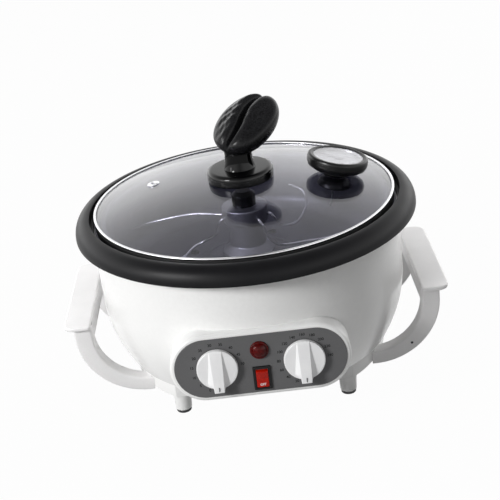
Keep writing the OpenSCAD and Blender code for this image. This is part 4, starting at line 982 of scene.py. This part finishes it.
CASE_Z, CASE_TOP = NECK_H, NECK_H + 12.5
LENS_Z = CASE_TOP - 2.3
DIAL_Z = LENS_Z - 2.9
DIAL_TOP = DIAL_Z + 0.8
NEEDLE_REST = math.radians(150)
SCALE_R, SCALE_FROM, SCALE_SPAN, SCALE_STEPS = 22.2, 225, 270, 40


def gauge_part(name, node, line, sides=128, closed=False, **settings):
    """A turned part of the thermometer, from its (radius, height) line."""
    return lofted(name, node, [(gauge(spun(line, sides, local)), closed)], **settings)


gauge_part("gauge_neck", "thermometer_neck", rounded([
    (0.2, -14.5, 0), (4.8, -14.5, 0.4), (4.8, 1, 0.2), (14, 1, 0.2), (15.5, 2, 0.6), (14.9, 3.4, 0.8),
    (11.5, NECK_H, 0.8), (0.2, NECK_H, 0)]), slot="stem_gloss")
gauge_part("gauge_case", "thermometer_case", rounded([
    (0.2, CASE_Z, 0), (22.5, CASE_Z, 2.0), (26.2, CASE_Z + 2.5, 2.5), (GAUGE_R, CASE_Z + 5.5, 2),
    (GAUGE_R, CASE_TOP - 2.4, 1),
    (27.0, CASE_TOP - 0.6, 1.2), (25.2, CASE_TOP, 1.2), (22.4, CASE_TOP - 0.5, 0.3), (22.4, LENS_Z + 1.6, 0.1),
    (24.4, LENS_Z + 1.6, 0.1), (24.4, LENS_Z, 0.1), (23.7, LENS_Z, 0.1), (23.7, DIAL_Z, 0.1), (0.2, DIAL_Z, 0)],
    6), sharp=50)
gauge_part("gauge_dial", "thermometer_dial", rounded([
    (1.1, DIAL_Z + 0.02, 0), (23.6, DIAL_Z + 0.02, 0.1), (23.6, LENS_Z - 0.05, 0.1), (23.1, LENS_Z - 0.05, 0.1),
    (22.9, DIAL_TOP, 0.3), (22.3, DIAL_TOP, 0), (1.1, DIAL_TOP, 0)], 3, closed=True), closed=True)
gauge_part("gauge_lens", "thermometer_lens", rounded([
    (0.2, LENS_Z, 0), (23.9, LENS_Z, 0), (24.3, LENS_Z, 0.2), (24.3, LENS_Z + 1.4, 0.2), (23.9, LENS_Z + 1.4, 0),
    (0.2, LENS_Z + 1.4, 0)], 3), sharp=30)
gauge_part("gauge_probe", "thermometer_probe", rounded([
    (0.1, -34, 0), (1.3, -34, 1.0), (1.3, -14.4, 0), (0.1, -14.4, 0)], 5), sides=32)
gauge_part("gauge_nut", "thermometer_nut", rounded([
    (4.9, -5, 0.2), (9.5, -5, 1), (12, -7, 2), (14.4, -10, 2), (15.5, -13, 0.8), (14.5, -14, 0.8), (4.9, -14, 0.2)],
    6, closed=True), closed=True, sharp=40)


def gauge_needle():
    """The pointer: a thin tapering blade on a small turned boss and its pin."""
    line = rounded([(-5, -1, 0.4), (0, -1.1, 1), (18.5, -0.3, 0.15), (18.5, 0.3, 0.15), (0, 1.1, 1), (-5, 1, 0.4)], 4,
                   closed=True)
    blade = layers(turned(line, NEEDLE_REST), (DIAL_TOP + 0.6, DIAL_TOP + 1.2))
    boss = rounded([(0.1, CASE_Z + 1.2, 0), (1, CASE_Z + 1.2, 0), (1, DIAL_TOP + 0.4, 0), (2.2, DIAL_TOP + 0.4, 0.1),
                    (2.1, DIAL_TOP + 1.4, 0.4), (0.1, DIAL_TOP + 1.4, 0)], 4)
    lofted("gauge_pointer", "thermometer_needle",
           [(gauge(blade), False), (gauge(spun(boss, 32, local)), False)])


gauge_needle()


def dial_ticks():
    """Fine printed scale strokes round the dial, every fifth longer."""
    parts = []
    for i in range(SCALE_STEPS + 1):
        turn = math.radians(SCALE_FROM - SCALE_SPAN * i / SCALE_STEPS)
        length = 3.0 if i % 5 == 0 else 1.6
        line = turned(box_outline(length, 0.28, 0.05, 1) + [SCALE_R - length / 2, 0], turn)
        parts.append((gauge(layers(line, (DIAL_TOP - 0.02, DIAL_TOP + 0.05))), False))
    lofted("dial_scale_print", "thermometer_dial", parts, replaces=False, slot="pan_screw_steel")


dial_ticks()

for node_name, angle, bevel in (("cable_gland", 30, 0.4), ("gland_nut", 30, 0.5), ("base_screws", 30, 0.3),
                                ("heating_element", 40, 0), ("pan_gasket", 30, 0), ("drive_shaft", 30, 0),
                                ("gear_motor", 30, 0), ("heat_shield", 30, 0), ("chassis_plate", 30, 0)):
    smoothed(node_name, angle, bevel)


# ---------------------------------------------------------------- floor, lamps and world

def backdrop_material(name, own):
    """A white floor that shows its full white to camera, mirror and glass rays but keeps a share of its shading."""
    material, tree, shader = fresh(name)
    shader.inputs["Base Color"].default_value = colour("#a0a0a0")
    shader.inputs["Roughness"].default_value = 0.9
    shader.inputs["Specular IOR Level"].default_value = 0.0
    glow = add(tree, "ShaderNodeEmission", Color=(1, 1, 1, 1), Strength=1.0)
    rays = add(tree, "ShaderNodeLightPath")
    seen = add(tree, "ShaderNodeMath", [(0, rays.outputs["Is Camera Ray"]), (1, rays.outputs["Is Glossy Ray"])],
               operation="MAXIMUM")
    seen = add(tree, "ShaderNodeMath", [(0, seen.outputs[0]), (1, rays.outputs["Is Transmission Ray"])],
               operation="MAXIMUM")
    share = add(tree, "ShaderNodeMath", [(0, seen.outputs[0])], operation="MULTIPLY")
    share.inputs[1].default_value = 1 - own
    mixed = add(tree, "ShaderNodeMixShader", [(0, share.outputs[0]), (1, shader.outputs[0]), (2, glow.outputs[0])])
    tree.links.new(tree.nodes["Material Output"].inputs["Surface"], mixed.outputs[0])
    return material


FLOOR_SHADING = 0.025


def stand():
    """A plain white floor under the feet."""
    mesh = bpy.data.meshes.new("floor")
    mesh.from_pydata([(-6, -6, 0), (6, -6, 0), (6, 6, 0), (-6, 6, 0)], [], [(0, 1, 2, 3)])
    mesh.materials.append(backdrop_material("white_floor", FLOOR_SHADING))
    floor = bpy.data.objects.new("floor", mesh)
    bpy.context.collection.objects.link(floor)


def lamp(name, place, aim, size, power, mirrored=True):
    """A soft rectangular lamp; places in metres from the object. One that isn't mirrored leaves no shape in gloss."""
    data = bpy.data.lights.new(name, "AREA")
    data.shape, data.size, data.size_y, data.energy = "RECTANGLE", size[0], size[1], power
    o = bpy.data.objects.new(name, data)
    o.location = place
    o.rotation_mode = "QUATERNION"
    o.rotation_quaternion = (Vector(aim) - Vector(place)).to_track_quat("-Z", "Y")
    o.visible_glossy = o.visible_transmission = mirrored
    bpy.context.collection.objects.link(o)


def light_world():
    """A white room: full white to camera and glass rays and a softer fill on everything else. Mirror rays see its
    walls brighter than that white, 1.35 times ahead and behind and up to 2.8 times at the two sides, and dimmer
    overhead, as in a room with lit side walls and a dark ceiling."""
    world = bpy.data.worlds.new("studio")
    world.use_nodes = True
    bpy.context.scene.world = world
    tree = world.node_tree
    back = tree.nodes["Background"]
    rays = add(tree, "ShaderNodeLightPath")
    where = add(tree, "ShaderNodeTexCoord")
    height = add(tree, "ShaderNodeSeparateXYZ", [("Vector", where.outputs["Generated"])])
    wall = add(tree, "ShaderNodeMapRange", [("Value", height.outputs["Z"])], From_Min=WALL[0], From_Max=WALL[1],
               To_Min=MIRRORED[0], To_Max=MIRRORED[1])
    aside = add(tree, "ShaderNodeMath", [(0, height.outputs["X"])], operation="ABSOLUTE")
    aside = add(tree, "ShaderNodeMapRange", [("Value", aside.outputs[0])], From_Min=SIDE[0], From_Max=SIDE[1],
                To_Min=SIDE_GAIN[0], To_Max=SIDE_GAIN[1])
    wall = add(tree, "ShaderNodeMath", [(0, wall.outputs[0]), (1, aside.outputs[0])], operation="MULTIPLY")
    seen = add(tree, "ShaderNodeMath", [(0, rays.outputs["Is Camera Ray"]), (1, rays.outputs["Is Transmission Ray"])],
               operation="MAXIMUM")
    glossy = add(tree, "ShaderNodeMix", [(0, rays.outputs["Is Glossy Ray"]), (3, wall.outputs[0])], data_type="FLOAT")
    glossy.inputs[2].default_value = FILL
    level = add(tree, "ShaderNodeMix", [(0, seen.outputs[0]), (2, glossy.outputs[0])], data_type="FLOAT")
    level.inputs[3].default_value = 1.0
    back.inputs["Color"].default_value = (1, 1, 1, 1)
    tree.links.new(back.inputs["Strength"], level.outputs[0])


FILL = 0.23
WALL, MIRRORED = (0.3, 0.75), (1.0, 0.25)  # sine of the height where the wall's light starts to fade and ends
SIDE, SIDE_GAIN = (0.05, 0.6), (1.35, 2.8)  # how far to the side mirror rays look, and what the wall is multiplied by
stand()
light_world()
lamp("key_left_front", (-1.35, -1.1, 1.0), (0, 0, 0.1), (0.45, 0.45), 28)
lamp("low_left", (-1.5, -0.62, 0.5), (0, -0.1, 0.08), (0.3, 0.3), 2)
lamp("top", (-0.1, 0.3, 1.8), (0, 0, 0.1), (1.0, 1.0), 10, mirrored=False)
lamp("back_left", (-1.5, 1.7, 0.8), (0, 0, 0.15), (1.4, 0.9), 9, mirrored=False)
lamp("back_right", (1.6, 1.3, 0.9), (0, 0, 0.15), (0.9, 0.9), 26, mirrored=False)
bpy.context.scene.view_settings.view_transform = "Standard"
